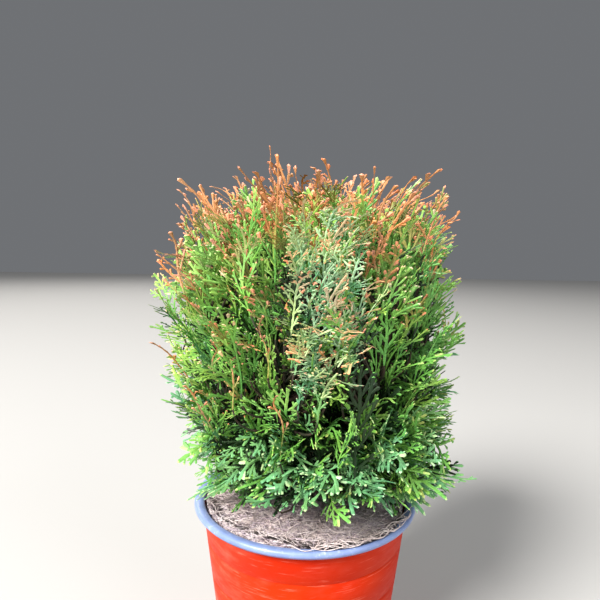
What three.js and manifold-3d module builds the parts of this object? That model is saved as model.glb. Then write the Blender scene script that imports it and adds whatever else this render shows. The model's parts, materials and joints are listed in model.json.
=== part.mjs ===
// A dwarf globe thuja in its nursery pot: a thin plastic pot with a rolled rim, filled with growing
// medium under a disc of coir, a short trunk, one bough for each mass of foliage, and the masses.
// Millimetres, +Z up. The origin is the centre of the pot's flat underside.
import * as THREE from "three";
import { mergeVertices } from "three/addons/utils/BufferGeometryUtils.js";
import Module from "manifold-3d";

const wasm = await Module();
wasm.setup();

const CLEARANCE = 0.3; // between two pieces that touch on the real plant
const JOIN_TOLERANCE = 0.01; // how far a surface may move where a mass's joins are simplified

const POT = {
  height: 130, // underside to the top of the rim
  rimRadius: 75,
  rimHeight: 5,
  mouthRadius: 69.3, // outside of the wall, just under the rim
  footRadius: 53.5,
  rimFootRadius: 73.8, // where the bead turns in under its widest part
  wall: 1.2,
  floor: 1.6,
  ringSpacing: 24, // between the shallow steps round the wall, measured down from the rim
  ringStep: 0.6,
  ringHeight: 1.5,
  sides: 36,
  drains: 6,
  drainRadius: 4.5,
  drainCircle: 38,
};
const FILL = {
  mediumTop: 118,
  coirTop: 126.5,
  coirCrown: 1.6, // how far the disc bulges in its middle
  coirRadius: 65,
  coirShift: 1.5, // the disc lies off centre, towards +X, which leaves a gap on the other side
  coirHole: 12,
};
const TRUNK = {
  top: 184,
  lean: new THREE.Vector2(1.6, -1.2), // how far the top stands off the foot
  baseRadius: 5,
  topRadius: 3.7,
  flare: 3, // added to the radius at ground level
  flareFade: 7, // how fast the root flare dies out with height
  sides: 10,
  steps: 8,
};
const CROWN = {
  centre: new THREE.Vector3(3, 0, 165),
  reach: 102, // sideways
  rise: 183, // from the centre to the topmost tips
  drop: 46, // below the centre, where the lowest sprays hang
  squareness: 4.2, // exponent of the outline: 2 is an ellipse
  lean: 11, // how far the top of the outline stands towards +X
  lowest: 119, // of the sprays beyond the rim
  lowestOverPot: 131,
  gap: 2, // kept open between two masses
};
// Each tier is a ring of boughs, and each bough carries one mass. leaves is where the bough leaves the
// trunk, and foot and end are the ends of the mass's stem, each as distance from the axis and height.
// slope and turn are in degrees, flatness is how level the sprays are held, from 0 to 1, and sweep is how
// strongly the twigs turn upwards.
const TIERS = [
  {
    name: "skirt",
    count: 7,
    turn: 8,
    leaves: 144,
    foot: [28, 152],
    end: [68, 168],
    slope: 8,
    radius: 2,
    flatness: 0.5,
    sweep: 0.15,
  },
  {
    name: "flank",
    count: 8,
    turn: 30,
    leaves: 156,
    foot: [36, 174],
    end: [76, 290],
    slope: 35,
    radius: 1.9,
    flatness: 0,
    sweep: 0.25,
  },
  {
    name: "top",
    count: 4,
    turn: 12,
    leaves: 174,
    foot: [14, 204],
    end: [38, 316],
    slope: 62,
    radius: 1.7,
    flatness: 0,
    sweep: 0.2,
  },
];
const BOUGH = { sides: 5, steps: 3, taper: 0.75, stagger: 2.5 };
const STEM = { sides: 3, steps: 4, radius: 1.9, tipRadius: 1.3 };
const TWIG = {
  rootWidth: 1.6,
  angle: 44, // from the stem, in degrees
  spread: 44, // how much that angle varies
  count: 70, // tried on each stem
  lowest: 0.04, // where they leave the stem, as shares of its length
  highest: 0.92,
  shortest: 6,
  longest: 30,
  forking: 12, // a twig at least this long bears a second spray on its side
  forkAt: 0.6, // of the way along it
  fork: 0.75, // the angle of that spray, in radians
};
const SPRAY = {
  longest: 60,
  shortest: 22,
  breadth: 0.9, // greatest breadth over length
  rib: 0.1, // how near the midrib the notches come, as a share of half the breadth
  thickness: 0.9,
  lobes: [3, 2], // on its two sides
  slope: 0.95, // how far a lobe runs forward, over how far it runs out
  narrowing: 0.95, // how much shorter the lobes grow towards the tip
  shrink: [1, 0.86, 0.72, 0.6], // the sizes tried before it is left out
  turns: 5, // the ways of facing tried at each size
  reach: 0.93, // how near the edge of the mass's space its tip may end, as a share of the way
  limit: 13, // in one mass
  droop: 0.12, // how far its tip sinks, over its length, where it is held level
};
const BITE = { stem: 3.4, twig: 1.2 }; // the most of a spray, in cubic mm, that lies in what bears it
const COLOURS = {
  pot: 0xe2401c,
  rim: 0x8fa3c8,
  medium: 0x3a2a20,
  coir: 0xa58f78,
  bark: 0x7a4632,
  foliage: 0x4f8a3f,
  tips: 0x9a8a3c,
};

const UP = new THREE.Vector3(0, 0, 1);
const GOLDEN_SHARE = 0.618; // steps of this share spread evenly over a length
const GOLDEN_ANGLE = THREE.MathUtils.degToRad(137.5);

/** A repeatable stream of numbers from 0 to 1. */
function stream(seed) {
  const modulus = 2147483647;
  const multiplier = 48271;
  let state = (seed * 7919 + 17) % modulus;
  return () => {
    state = (state * multiplier) % modulus;
    return state / modulus;
  };
}

/** The closed solid that a three.js geometry bounds. */
function solidOf(geometry) {
  const bare = geometry.clone();
  bare.deleteAttribute("normal");
  bare.deleteAttribute("uv");
  const merged = mergeVertices(bare, 1e-4);
  return new wasm.Manifold(
    new wasm.Mesh({
      numProp: 3,
      vertProperties: new Float32Array(merged.attributes.position.array),
      triVerts: new Uint32Array(merged.index.array),
    }),
  );
}

/** The geometry of a solid's largest piece: scraps and sealed hollows are left behind. */
function geometryOf(solid) {
  const pieces = solid.decompose().sort((a, b) => b.volume() - a.volume());
  const made = pieces[0].getMesh();
  const geometry = new THREE.BufferGeometry();
  geometry.setAttribute("position", new THREE.BufferAttribute(made.vertProperties, 3));
  geometry.setIndex(new THREE.BufferAttribute(made.triVerts, 1));
  geometry.computeVertexNormals();
  return geometry;
}

/** A lathe about Z from [radius, height] points that start and end on the axis or close on themselves. */
function lathe(profile, sides = POT.sides) {
  const points = profile.map(([radius, height]) => new THREE.Vector2(radius, height));
  return new THREE.LatheGeometry(points, sides).rotateX(Math.PI / 2);
}

/** A round limb along a curve, whose radius is a function of the share of its length. */
function limb(curve, radiusAt, sides, steps) {
  const geometry = new THREE.CylinderGeometry(1, 1, 1, sides, steps);
  const frames = curve.computeFrenetFrames(steps, false);
  const position = geometry.attributes.position;
  for (let i = 0; i < position.count; i += 1) {
    const share = position.getY(i) + 0.5;
    const step = Math.round(share * steps);
    const radius = radiusAt(share);
    const point = curve
      .getPointAt(share)
      .addScaledVector(frames.normals[step], position.getX(i) * radius)
      .addScaledVector(frames.binormals[step], -position.getZ(i) * radius);
    position.setXYZ(i, point.x, point.y, point.z);
  }
  return geometry;
}

/** A radius that falls evenly from one end to the other. */
const taper = (from, to) => (share) => THREE.MathUtils.lerp(from, to, share);

/** Names a geometry as one sub-part. */
function part(name, geometry, color, roughness) {
  const mesh = new THREE.Mesh(
    geometry,
    new THREE.MeshStandardMaterial({ color, roughness, metalness: 0 }),
  );
  mesh.name = name;
  return mesh;
}

// The pot and what fills it.

/** The pot's outer radius at a height, without the steps. */
function potRadius(height) {
  const wallTop = POT.height - POT.rimHeight;
  return THREE.MathUtils.lerp(POT.footRadius, POT.mouthRadius, height / wallTop);
}

/** The wall and floor: outside with its shallow steps, a plain cone inside, and drain holes. */
function potWall() {
  const wallTop = POT.height - POT.rimHeight;
  const outside = [[POT.footRadius, 0]];
  for (let z = wallTop % POT.ringSpacing; z < wallTop; z += POT.ringSpacing) {
    outside.push([potRadius(z) - POT.ringStep, z - POT.ringHeight], [potRadius(z), z]);
  }
  const profile = [
    [0, 0],
    ...outside,
    [POT.mouthRadius, wallTop],
    [POT.mouthRadius - POT.wall, wallTop],
    [POT.footRadius - POT.wall - POT.ringStep, POT.floor],
    [0, POT.floor],
  ];
  let wall = solidOf(lathe(profile));
  for (let i = 0; i < POT.drains; i += 1) {
    const angle = (i / POT.drains) * 2 * Math.PI;
    const drain = new THREE.CylinderGeometry(POT.drainRadius, POT.drainRadius, POT.floor * 4, 12);
    drain.rotateX(Math.PI / 2);
    drain.translate(POT.drainCircle * Math.cos(angle), POT.drainCircle * Math.sin(angle), 0);
    wall = wall.subtract(solidOf(drain));
  }
  return geometryOf(wall);
}

/** The rolled rim, a bead that stands on the wall and overhangs it. */
function potRim() {
  const inner = POT.mouthRadius - POT.wall;
  const foot = POT.height - POT.rimHeight + CLEARANCE;
  const middle = (inner + POT.rimRadius) / 2;
  const halfWidth = (POT.rimRadius - inner) / 2;
  const height = POT.height - foot;
  const shoulder = 0.35; // the share of its height where the bead is widest
  const roundSteps = 5;
  const over = [];
  for (let i = 0; i <= roundSteps; i += 1) {
    const angle = (i / roundSteps) * Math.PI;
    const level = Math.sign(Math.cos(angle)) * Math.abs(Math.cos(angle)) ** 0.7;
    const share = THREE.MathUtils.lerp(shoulder, 1, Math.sin(angle));
    over.push([middle + halfWidth * level, foot + height * share]);
  }
  return lathe([[inner, foot], [POT.rimFootRadius, foot], ...over, [inner, foot]]);
}

/** The growing medium, 0.3 mm clear of the wall and floor. */
function growingMedium() {
  const wallTop = POT.height - POT.rimHeight;
  const inside = (z) => {
    const share = (z - POT.floor) / (wallTop - POT.floor);
    const foot = POT.footRadius - POT.wall - POT.ringStep;
    return THREE.MathUtils.lerp(foot, POT.mouthRadius - POT.wall, share) - CLEARANCE;
  };
  const foot = POT.floor + CLEARANCE;
  return lathe([
    [0, foot],
    [inside(foot), foot],
    [inside(FILL.mediumTop), FILL.mediumTop],
    [0, FILL.mediumTop],
  ]);
}

/** The coir disc: a ring round the stem, a little domed, that lies off centre in the pot. */
function coirDisc() {
  const foot = FILL.mediumTop + CLEARANCE;
  const edge = 2; // how far its worn edges are rounded off
  return lathe([
    [FILL.coirHole, foot],
    [FILL.coirRadius - edge, foot],
    [FILL.coirRadius, foot + edge],
    [FILL.coirRadius, FILL.coirTop - edge],
    [FILL.coirRadius - edge, FILL.coirTop],
    [FILL.coirRadius * 0.6, FILL.coirTop + FILL.coirCrown * 0.7],
    [FILL.coirHole + edge, FILL.coirTop + FILL.coirCrown],
    [FILL.coirHole, foot],
  ]);
}

// The trunk and the boughs.

const trunkCurve = new THREE.QuadraticBezierCurve3(
  new THREE.Vector3(0, 0, FILL.mediumTop + CLEARANCE),
  new THREE.Vector3(0, 0, (FILL.mediumTop + TRUNK.top) / 2),
  new THREE.Vector3(TRUNK.lean.x, TRUNK.lean.y, TRUNK.top),
);

const trunkRadius = (share) =>
  taper(TRUNK.baseRadius, TRUNK.topRadius)(share) + TRUNK.flare * Math.exp(-share * TRUNK.flareFade);

/** The trunk, grown by a margin all round where another piece is cut clear of it. */
function trunk(margin = 0) {
  return limb(trunkCurve, (share) => trunkRadius(share) + margin, TRUNK.sides, TRUNK.steps);
}

/** A point at an azimuth, a distance from the axis and a height. */
const polar = (azimuth, [distance, height]) =>
  new THREE.Vector3(Math.cos(azimuth) * distance, Math.sin(azimuth) * distance, height);

/**
 * Every mass: the curve of its bough, that of its stem, which starts just beyond the bough's tip, and
 * its axis, the straight line between the ends of the stem.
 */
function planMasses() {
  const plans = [];
  TIERS.forEach((tier, tierIndex) => {
    for (let i = 0; i < tier.count; i += 1) {
      const next = stream(100 * (tierIndex + 1) + i);
      const azimuth = THREE.MathUtils.degToRad(tier.turn + (360 * i) / tier.count + 8 * (next() - 0.5));
      const height = tier.leaves + (i % 2 ? BOUGH.stagger : -BOUGH.stagger);
      const share = (height - FILL.mediumTop) / (TRUNK.top - FILL.mediumTop);
      const start = trunkCurve.getPoint(share).add(polar(azimuth, [trunkRadius(share) / 2, 0]));
      const slope = THREE.MathUtils.degToRad(tier.slope);
      const heading = polar(azimuth, [Math.cos(slope), Math.sin(slope)]);
      const foot = polar(azimuth, tier.foot);
      const end = polar(azimuth, tier.end);
      foot.x += CROWN.centre.x;
      end.x += CROWN.centre.x + leanAt(end.z - CROWN.centre.z);
      const bend = (from, length) => from.clone().addScaledVector(heading, length);
      const tip = bend(foot, CLEARANCE);
      plans.push({
        label: `${tier.name}_${i + 1}`,
        tier,
        next,
        bough: new THREE.QuadraticBezierCurve3(start, bend(foot, -0.45 * start.distanceTo(foot)), foot),
        stem: new THREE.QuadraticBezierCurve3(tip, bend(tip, 0.4 * tip.distanceTo(end)), end),
        axis: new THREE.Line3(tip, end),
      });
    }
  });
  return plans;
}

/** The solid of a bough, grown by a margin all round where the foliage is kept clear of it. */
function boughSolid({ bough, tier }, margin = 0) {
  const radius = taper(tier.radius + margin, tier.radius * BOUGH.taper + margin);
  return solidOf(limb(bough, radius, BOUGH.sides, BOUGH.steps));
}

// The foliage.

/** How far the crown's outline stands towards +X at a height over its centre. */
function leanAt(height) {
  return CROWN.lean * (Math.max(0, height) / CROWN.rise) ** 2;
}

/** How far out a point lies, where 1 is the crown's outline. */
function outlineShare(point) {
  const offset = point.clone().sub(CROWN.centre);
  offset.x -= leanAt(offset.z);
  const level = Math.hypot(offset.x, offset.y) / CROWN.reach;
  const upright = Math.abs(offset.z) / (offset.z < 0 ? CROWN.drop : CROWN.rise);
  const n = CROWN.squareness;
  return (level ** n + upright ** n) ** (1 / n);
}

/** The distance from a point to the axis of a mass. */
function axisDistance(point, { axis }) {
  return axis.closestPointToPoint(point, true, new THREE.Vector3()).distanceTo(point);
}

/** Whether a point lies in a mass's own space: inside the crown, and nearest to the mass's axis. */
function inOwnSpace(point, plan, plans) {
  const overPot = Math.hypot(point.x, point.y) < POT.rimRadius + 2;
  if (point.z < (overPot ? CROWN.lowestOverPot : CROWN.lowest)) return false;
  if (outlineShare(point) > 1) return false;
  const own = axisDistance(point, plan) + CROWN.gap;
  return plans.every((other) => other === plan || axisDistance(point, other) > own);
}

/** How far a line from a point stays in a mass's own space. */
function roomAlong(root, along, plan, plans) {
  let room = 0;
  while (inOwnSpace(root.clone().addScaledVector(along, room + 1), plan, plans)) room += 1;
  return room;
}

/** The outline of a spray on its twig: lobes leave the midrib by turns on its two sides. */
function sprayShape(twig, length) {
  const half = (SPRAY.breadth * length) / 2;
  const spacing = length / (SPRAY.lobes[0] + 1);
  const edge = (sign, lobes) => {
    const points = [[(sign * TWIG.rootWidth) / 2, 0]];
    const rib = sign * half * SPRAY.rib;
    const start = sign > 0 ? spacing / 2 : 0;
    for (let i = 0; i < lobes; i += 1) {
      const share = (start + spacing * i) / length;
      const lobe = half * (1 - SPRAY.narrowing * share ** 1.5);
      points.push([rib, twig + share * length], [sign * lobe, twig + share * length + SPRAY.slope * lobe]);
    }
    return [...points, [rib, twig + start + spacing * lobes]];
  };
  const outline = [...edge(-1, SPRAY.lobes[0]), [0, twig + length], ...edge(1, SPRAY.lobes[1]).reverse()];
  return new THREE.Shape(outline.map(([x, y]) => new THREE.Vector2(x, y)));
}

/** A spray on its twig, from a root, growing along one direction with its face towards another. */
function spray(root, along, facing, twig, length, droop) {
  const geometry = new THREE.ExtrudeGeometry(sprayShape(twig, length), {
    depth: SPRAY.thickness,
    bevelEnabled: false,
  });
  geometry.translate(0, 0, -SPRAY.thickness / 2);
  const position = geometry.attributes.position;
  for (let i = 0; i < position.count; i += 1) {
    const share = Math.max(0, position.getY(i) - twig) / length;
    position.setZ(i, position.getZ(i) - droop * length * share * share);
  }
  const face = facing.clone().addScaledVector(along, -facing.dot(along)).normalize();
  const across = along.clone().cross(face);
  const place = new THREE.Matrix4().makeBasis(across, along, face).setPosition(root);
  return geometry.applyMatrix4(place);
}

/** Whether every corner of a geometry passes a test. */
function everyCorner(geometry, test) {
  const position = geometry.attributes.position;
  const point = new THREE.Vector3();
  for (let i = 0; i < position.count; i += 1) {
    if (!test(point.fromBufferAttribute(position, i))) return false;
  }
  return true;
}

/** The way a spray's face is turned: upwards where sprays are held level, else sideways. */
function facingOf(along, tier, next) {
  const level = next() < tier.flatness;
  const base = level ? UP.clone() : new THREE.Vector3(-along.y, along.x, 0.01);
  const turn = (next() - 0.5) * (level ? 1 : 2.4);
  if (next() < 0.5) base.negate();
  return base.applyAxisAngle(along, turn);
}

/**
 * The largest spray whose tip comes near the edge of the mass's space on a line from a root. It stands
 * on a twig of at most a given length, and is left out where no size and facing is free.
 */
function fittedSpray(root, along, plan, plans, longestTwig, free) {
  const { tier, next } = plan;
  const room = roomAlong(root, along, plan, plans) * THREE.MathUtils.lerp(SPRAY.reach, 1, next());
  for (const size of SPRAY.shrink) {
    const length = size * Math.min(SPRAY.longest, room - TWIG.shortest);
    if (length < SPRAY.shortest) return null;
    const twig = Math.min(room - length, longestTwig);
    for (let turn = 0; turn < SPRAY.turns; turn += 1) {
      const facing = facingOf(along, tier, next);
      const made = spray(root, along, facing, twig, length, SPRAY.droop * tier.flatness);
      const fits = everyCorner(made, (corner) => inOwnSpace(corner, plan, plans));
      const solid = fits && solidOf(made);
      if (solid && free(solid)) return { solid, twig, facing };
    }
  }
  return null;
}

/** The point at a share of a stem's length, on the straight steps that it is made in. */
function pointOnStem(stem, share) {
  const step = Math.min(Math.floor(share * STEM.steps), STEM.steps - 1);
  const from = stem.getPointAt(step / STEM.steps);
  return from.lerp(stem.getPointAt((step + 1) / STEM.steps), share * STEM.steps - step);
}

/** The direction of a twig that leaves a stem at a share of its length, on a given turn of its spiral. */
function twigDirection(stem, share, turn, { tier, next }) {
  const heading = stem.getTangentAt(share);
  const side = new THREE.Vector3(-heading.y, heading.x, 0.01).normalize();
  side.applyAxisAngle(heading, turn);
  const angle = THREE.MathUtils.degToRad(TWIG.angle + TWIG.spread * (next() - 0.5));
  return heading
    .multiplyScalar(Math.cos(angle))
    .addScaledVector(side, Math.sin(angle))
    .addScaledVector(UP, tier.sweep)
    .normalize();
}

/** A mass: a stem, twigs that leave it in a spiral, and sprays at their ends and on their sides. */
function mass(plan, plans, limbs) {
  const { next, stem } = plan;
  const wood = solidOf(limb(stem, taper(STEM.radius, STEM.tipRadius), STEM.sides, STEM.steps));
  const sprays = [];
  const grow = (root, along, longestTwig, bearer) => {
    if (sprays.length >= SPRAY.limit) return null;
    const bite = bearer === wood ? BITE.stem : BITE.twig;
    const others = [limbs, wood, ...sprays].filter((other) => other !== bearer);
    const free = (solid) =>
      bearer.intersect(solid).volume() < bite &&
      others.every((other) => other.intersect(solid).isEmpty());
    const made = fittedSpray(root, along, plan, plans, longestTwig, free);
    if (made) sprays.push(made.solid);
    return made;
  };
  grow(pointOnStem(stem, 0.98), stem.getTangentAt(1), TWIG.shortest, wood);
  for (let i = 0; i < TWIG.count; i += 1) {
    const share = THREE.MathUtils.lerp(TWIG.highest, TWIG.lowest, (i * GOLDEN_SHARE) % 1);
    const along = twigDirection(stem, share, i * GOLDEN_ANGLE, plan);
    const root = pointOnStem(stem, share);
    const end = grow(root, along, TWIG.longest, wood);
    if (!end || end.twig < TWIG.forking) continue;
    const fork = root.clone().addScaledVector(along, end.twig * TWIG.forkAt);
    const side = along.clone().applyAxisAngle(end.facing, i % 2 ? TWIG.fork : -TWIG.fork);
    grow(fork, side, TWIG.shortest, end.solid);
  }
  const whole = sprays.reduce((joined, piece) => joined.add(piece), wood);
  return geometryOf(whole.asOriginal().simplify(JOIN_TOLERANCE));
}

const trunkClear = solidOf(trunk(CLEARANCE));
const plans = planMasses();
const limbsClear = plans.reduce((limbs, plan) => limbs.add(boughSolid(plan, CLEARANCE)), trunkClear);

const thuja = new THREE.Group();
const coir = part("coir_disc", coirDisc(), COLOURS.coir, 0.95);
coir.position.x = FILL.coirShift;
thuja.add(
  part("pot_wall", potWall(), COLOURS.pot, 0.45),
  part("pot_rim", potRim(), COLOURS.rim, 0.4),
  part("growing_medium", growingMedium(), COLOURS.medium, 0.95),
  coir,
  part("trunk", trunk(), COLOURS.bark, 0.85),
);
plans.forEach((plan) => {
  const color = plan.tier.name === "top" ? COLOURS.tips : COLOURS.foliage;
  const bough = geometryOf(boughSolid(plan).subtract(trunkClear));
  thuja.add(part(`bough_${plan.label}`, bough, COLOURS.bark, 0.85));
  thuja.add(part(`foliage_${plan.label}`, mass(plan, plans, limbsClear), color, 0.7));
});

export default thuja;
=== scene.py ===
"""A dwarf globe thuja in its nursery pot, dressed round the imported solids.

The skeleton is planned in millimetres by the same rule as the solids, and carried on to finer twigs and
to fronds of flattened branchlets. Meshes are written in metres, in the solids' own frame.
"""

import json
import logging
import math
from dataclasses import dataclass, field
from enum import Enum
from typing import Callable, Sequence

import bmesh
import bpy
import numpy as np
from mathutils import Matrix, Quaternion, Vector

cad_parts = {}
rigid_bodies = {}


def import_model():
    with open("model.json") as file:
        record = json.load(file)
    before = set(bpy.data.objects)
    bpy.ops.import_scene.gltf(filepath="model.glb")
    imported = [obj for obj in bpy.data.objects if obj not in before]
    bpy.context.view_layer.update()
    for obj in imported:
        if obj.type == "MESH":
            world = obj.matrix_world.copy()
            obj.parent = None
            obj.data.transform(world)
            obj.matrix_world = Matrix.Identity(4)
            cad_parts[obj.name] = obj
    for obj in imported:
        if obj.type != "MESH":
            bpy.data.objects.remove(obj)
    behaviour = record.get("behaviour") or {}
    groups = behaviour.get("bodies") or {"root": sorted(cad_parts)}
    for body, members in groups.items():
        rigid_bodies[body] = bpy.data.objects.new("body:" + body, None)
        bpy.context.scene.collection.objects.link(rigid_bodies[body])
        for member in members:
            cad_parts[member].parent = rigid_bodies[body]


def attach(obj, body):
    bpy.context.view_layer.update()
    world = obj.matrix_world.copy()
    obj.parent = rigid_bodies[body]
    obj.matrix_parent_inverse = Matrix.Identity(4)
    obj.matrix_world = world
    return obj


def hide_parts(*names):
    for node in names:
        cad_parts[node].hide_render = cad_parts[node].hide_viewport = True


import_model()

LOG = logging.getLogger("thuja")
MM = 0.001
CLEARANCE = 0.3
BODY = "root"
GOLDEN_ANGLE = math.radians(137.5)
UP = Vector((0, 0, 1))

Colour = tuple[float, float, float, float]
Rule = tuple[tuple[float, ...], tuple[float, ...]]


def srgb(red: float, green: float, blue: float) -> Colour:
    """A colour from 0 to 255 as shown on a screen, in the renderer's linear values.

    Args:
        red: how much red it has, from 0 to 255.
        green: how much green.
        blue: how much blue.

    Returns:
        Red, green and blue in linear values, and full alpha.
    """
    shares = (channel / 255 for channel in (red, green, blue))
    linear = (s / 12.92 if s <= 0.04045 else ((s + 0.055) / 1.055) ** 2.4 for s in shares)
    return (*linear, 1.0)


def lerp(start: float, end: float, share: float) -> float:
    """The value at a share of the way from start to end."""
    return start + (end - start) * share


# Node graphs


class Signal:
    """A node's socket, with Python's operators for maths on its values."""

    def __init__(self, graph: "Graph", socket: bpy.types.NodeSocket) -> None:
        """Wraps a socket of a graph."""
        self.graph = graph
        self.socket = socket

    def maths(self, operation: str, other: "Signal | float") -> "Signal":
        """This value and another, put through a Math node."""
        return self.graph.node("ShaderNodeMath", {"operation": operation}, {0: self, 1: other})

    def __add__(self, other: "Signal | float") -> "Signal":
        """This value and another, added."""
        return self.maths("ADD", other)

    def __mul__(self, other: "Signal | float") -> "Signal":
        """This value times another."""
        return self.maths("MULTIPLY", other)

    __radd__ = __add__
    __rmul__ = __mul__


class Graph:
    """A node tree that is filled one node at a time."""

    def __init__(self, tree: bpy.types.NodeTree) -> None:
        """Wraps a node tree."""
        self.tree = tree

    @staticmethod
    def pick(sockets: Sequence[bpy.types.NodeSocket], key: int | str) -> bpy.types.NodeSocket:
        """The socket at an index, or the one in use that has a name.

        Args:
            sockets: a node's inputs or outputs.
            key: the index or the name.

        Returns:
            The socket.
        """
        if isinstance(key, int):
            return sockets[key]
        return next(socket for socket in sockets if socket.name == key and socket.enabled)

    def node(
        self,
        kind: str,
        settings: dict[str, object] | None = None,
        inputs: dict[int | str, object] | None = None,
        output: int | str = 0,
    ) -> Signal:
        """Adds a node.

        Args:
            kind: the node's type.
            settings: its properties.
            inputs: values or signals for its sockets, by name or index.
            output: the socket that is handed on.

        Returns:
            The chosen output.
        """
        made = self.tree.nodes.new(kind)
        for key, value in (settings or {}).items():
            setattr(made, key, value)
        for key, value in (inputs or {}).items():
            socket = self.pick(made.inputs, key)
            if isinstance(value, Signal):
                self.tree.links.new(value.socket, socket)
            else:
                socket.default_value = value
        return Signal(self, self.pick(made.outputs, output))

    def vector(self, operation: str, first: object, second: object) -> Signal:
        """Two vectors, or for SCALE a vector and a number, put through a Vector Math node."""
        inputs = {0: first, "Scale" if operation == "SCALE" else 1: second}
        return self.node("ShaderNodeVectorMath", {"operation": operation}, inputs)


class Shader(Graph):
    """A material's nodes round one Principled shader."""

    def __init__(self, name: str, **constants: float | Colour) -> None:
        """Starts a material.

        Args:
            name: the material's name.
            constants: values set on the shader's own sockets, with _ for each space.
        """
        self.material = bpy.data.materials.new(name)
        self.material.use_nodes = True
        super().__init__(self.material.node_tree)
        self.surface = self.tree.nodes["Principled BSDF"]
        for key, value in constants.items():
            self.surface.inputs[key.replace("_", " ").title().replace("Ior", "IOR")].default_value = value

    def coordinates(self, scale: tuple[float, float, float] = (1, 1, 1)) -> Signal:
        """The place on the piece in metres, stretched along each axis."""
        place = self.node("ShaderNodeTexCoord", output="Object")
        return self.node("ShaderNodeMapping", inputs={"Vector": place, "Scale": scale})

    def noise(self, place: Signal, scale: float, detail: float = 3, roughness: float = 0.5) -> Signal:
        """Soft noise from 0 to 1, whose features are about 1 / scale of a metre."""
        inputs = {"Vector": place, "Scale": scale, "Detail": detail, "Roughness": roughness}
        return self.node("ShaderNodeTexNoise", inputs=inputs)

    def mix(self, share: Signal | float, first: object, second: object, blend: str = "MIX") -> Signal:
        """Two colours mixed by a share."""
        settings = {"data_type": "RGBA", "blend_type": blend}
        return self.node("ShaderNodeMix", settings, {"Factor": share, "A": first, "B": second}, "Result")

    def between(self, value: Signal, low: float, high: float, start: float = 0, end: float = 1) -> Signal:
        """A value carried from the range low to high over to start to end, and held inside it."""
        inputs = {1: low, 2: high, 3: start, 4: end, 0: value}
        return self.node("ShaderNodeMapRange", {"clamp": True}, inputs)

    def along(self, place: Signal, axis: str) -> Signal:
        """A place's own coordinate along one axis, X, Y or Z."""
        return self.node("ShaderNodeSeparateXYZ", inputs={"Vector": place}, output=axis)

    def wear(self, name: str, signal: Signal) -> None:
        """Feeds one of the shader's sockets."""
        self.tree.links.new(signal.socket, self.surface.inputs[name])

    def bump(self, height: Signal, distance: float, strength: float = 1.0) -> None:
        """Raises the surface by a height from 0 to 1 times a distance in metres."""
        inputs = {"Height": height, "Distance": distance, "Strength": strength}
        self.wear("Normal", self.node("ShaderNodeBump", inputs=inputs))


# Finishes


@dataclass(frozen=True)
class PotPlastic:
    """Thin orange-red plastic with dull scuffs, a few fine scratches, and a painted pale sheen that is faint
    all round and strongest towards its left side (-X).
    """

    name: str = "pot_plastic"
    colour: Colour = srgb(184, 33, 3)
    faded: Colour = srgb(196, 56, 14)
    # The pale colour of the scuffs, which also paints the pale sheen.
    scuffed: Colour = srgb(232, 138, 116)
    roughness: tuple[float, float] = (0.42, 0.58)

    def material(self) -> bpy.types.Material:
        """Builds the material.

        Returns:
            The material.
        """
        shader = Shader(self.name, coat_weight=0.03, coat_roughness=0.2, specular_ior_level=0.05)
        place = shader.coordinates()
        cloud = shader.noise(place, 22, 4)
        streaks = shader.noise(shader.coordinates((1, 1, 5)), 90, 5, 0.65)
        scuffs = shader.between(shader.noise(shader.coordinates((1, 1, 16)), 60, 5, 0.6), 0.58, 0.68)
        # Painted sheen: pale noise patches, faint all round and strongest on the left side.
        sheen_haze = shader.between(shader.noise(shader.coordinates((1, 1, 2.5)), 34, 4, 0.6), 0.5, 0.75)
        base = shader.mix(shader.between(cloud, 0.35, 0.75, 0, 0.55), self.colour, self.faded)
        # Painted sheen: the pot turns paler towards its left side, from X = -20 mm to -65 mm, where the
        # lamp's reflection lies; the scuffs mixed in with it are real wear.
        left_sheen = shader.between(shader.along(place, "X"), -0.02, -0.065, 0, 1)
        dull = scuffs * 0.26 + sheen_haze * (left_sheen * 0.3 + 0.08) + left_sheen * 0.08
        shader.wear("Base Color", shader.mix(dull, base, self.scuffed))
        shader.wear("Roughness", shader.between(streaks, 0.3, 0.75, *self.roughness) + scuffs * 0.15)
        shader.bump(streaks * 0.3 + shader.noise(place, 900, 2) * 0.7, 0.00005)
        return shader.material


@dataclass(frozen=True)
class RimPlastic:
    """Pale blue-grey plastic, a little dusty, in cloudy patches of a duller blue."""

    name: str = "rim_plastic"
    colour: Colour = srgb(124, 142, 186)
    dull: Colour = srgb(100, 118, 166)
    dust: Colour = srgb(208, 212, 220)

    def material(self) -> bpy.types.Material:
        """Builds the material.

        Returns:
            The material.
        """
        shader = Shader(self.name, coat_weight=0.15, coat_roughness=0.25, ior=1.47)
        place = shader.coordinates()
        cloud = shader.noise(place, 45, 4, 0.6)
        dust = shader.between(shader.noise(place, 260, 5, 0.7), 0.56, 0.74)
        base = shader.mix(shader.between(cloud, 0.35, 0.7), self.colour, self.dull)
        shader.wear("Base Color", shader.mix(dust * 0.5, base, self.dust))
        shader.wear("Roughness", shader.between(cloud, 0.3, 0.7, 0.34, 0.5) + dust * 0.25)
        shader.bump(shader.noise(place, 700, 3), 0.0001)
        return shader.material


@dataclass(frozen=True)
class Medium:
    """Dark crumbly growing medium."""

    name: str = "medium_crumbs"
    dark: Colour = srgb(38, 26, 18)
    light: Colour = srgb(98, 72, 50)

    def material(self) -> bpy.types.Material:
        """Builds the material.

        Returns:
            The material.
        """
        shader = Shader(self.name)
        place = shader.coordinates()
        crumbs = shader.noise(place, 420, 6, 0.7)
        shader.wear("Base Color", shader.mix(shader.between(crumbs, 0.4, 0.7), self.dark, self.light))
        shader.wear("Roughness", shader.between(crumbs, 0.3, 0.7, 0.8, 0.98))
        shader.bump(crumbs, 0.002)
        return shader.material


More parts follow.
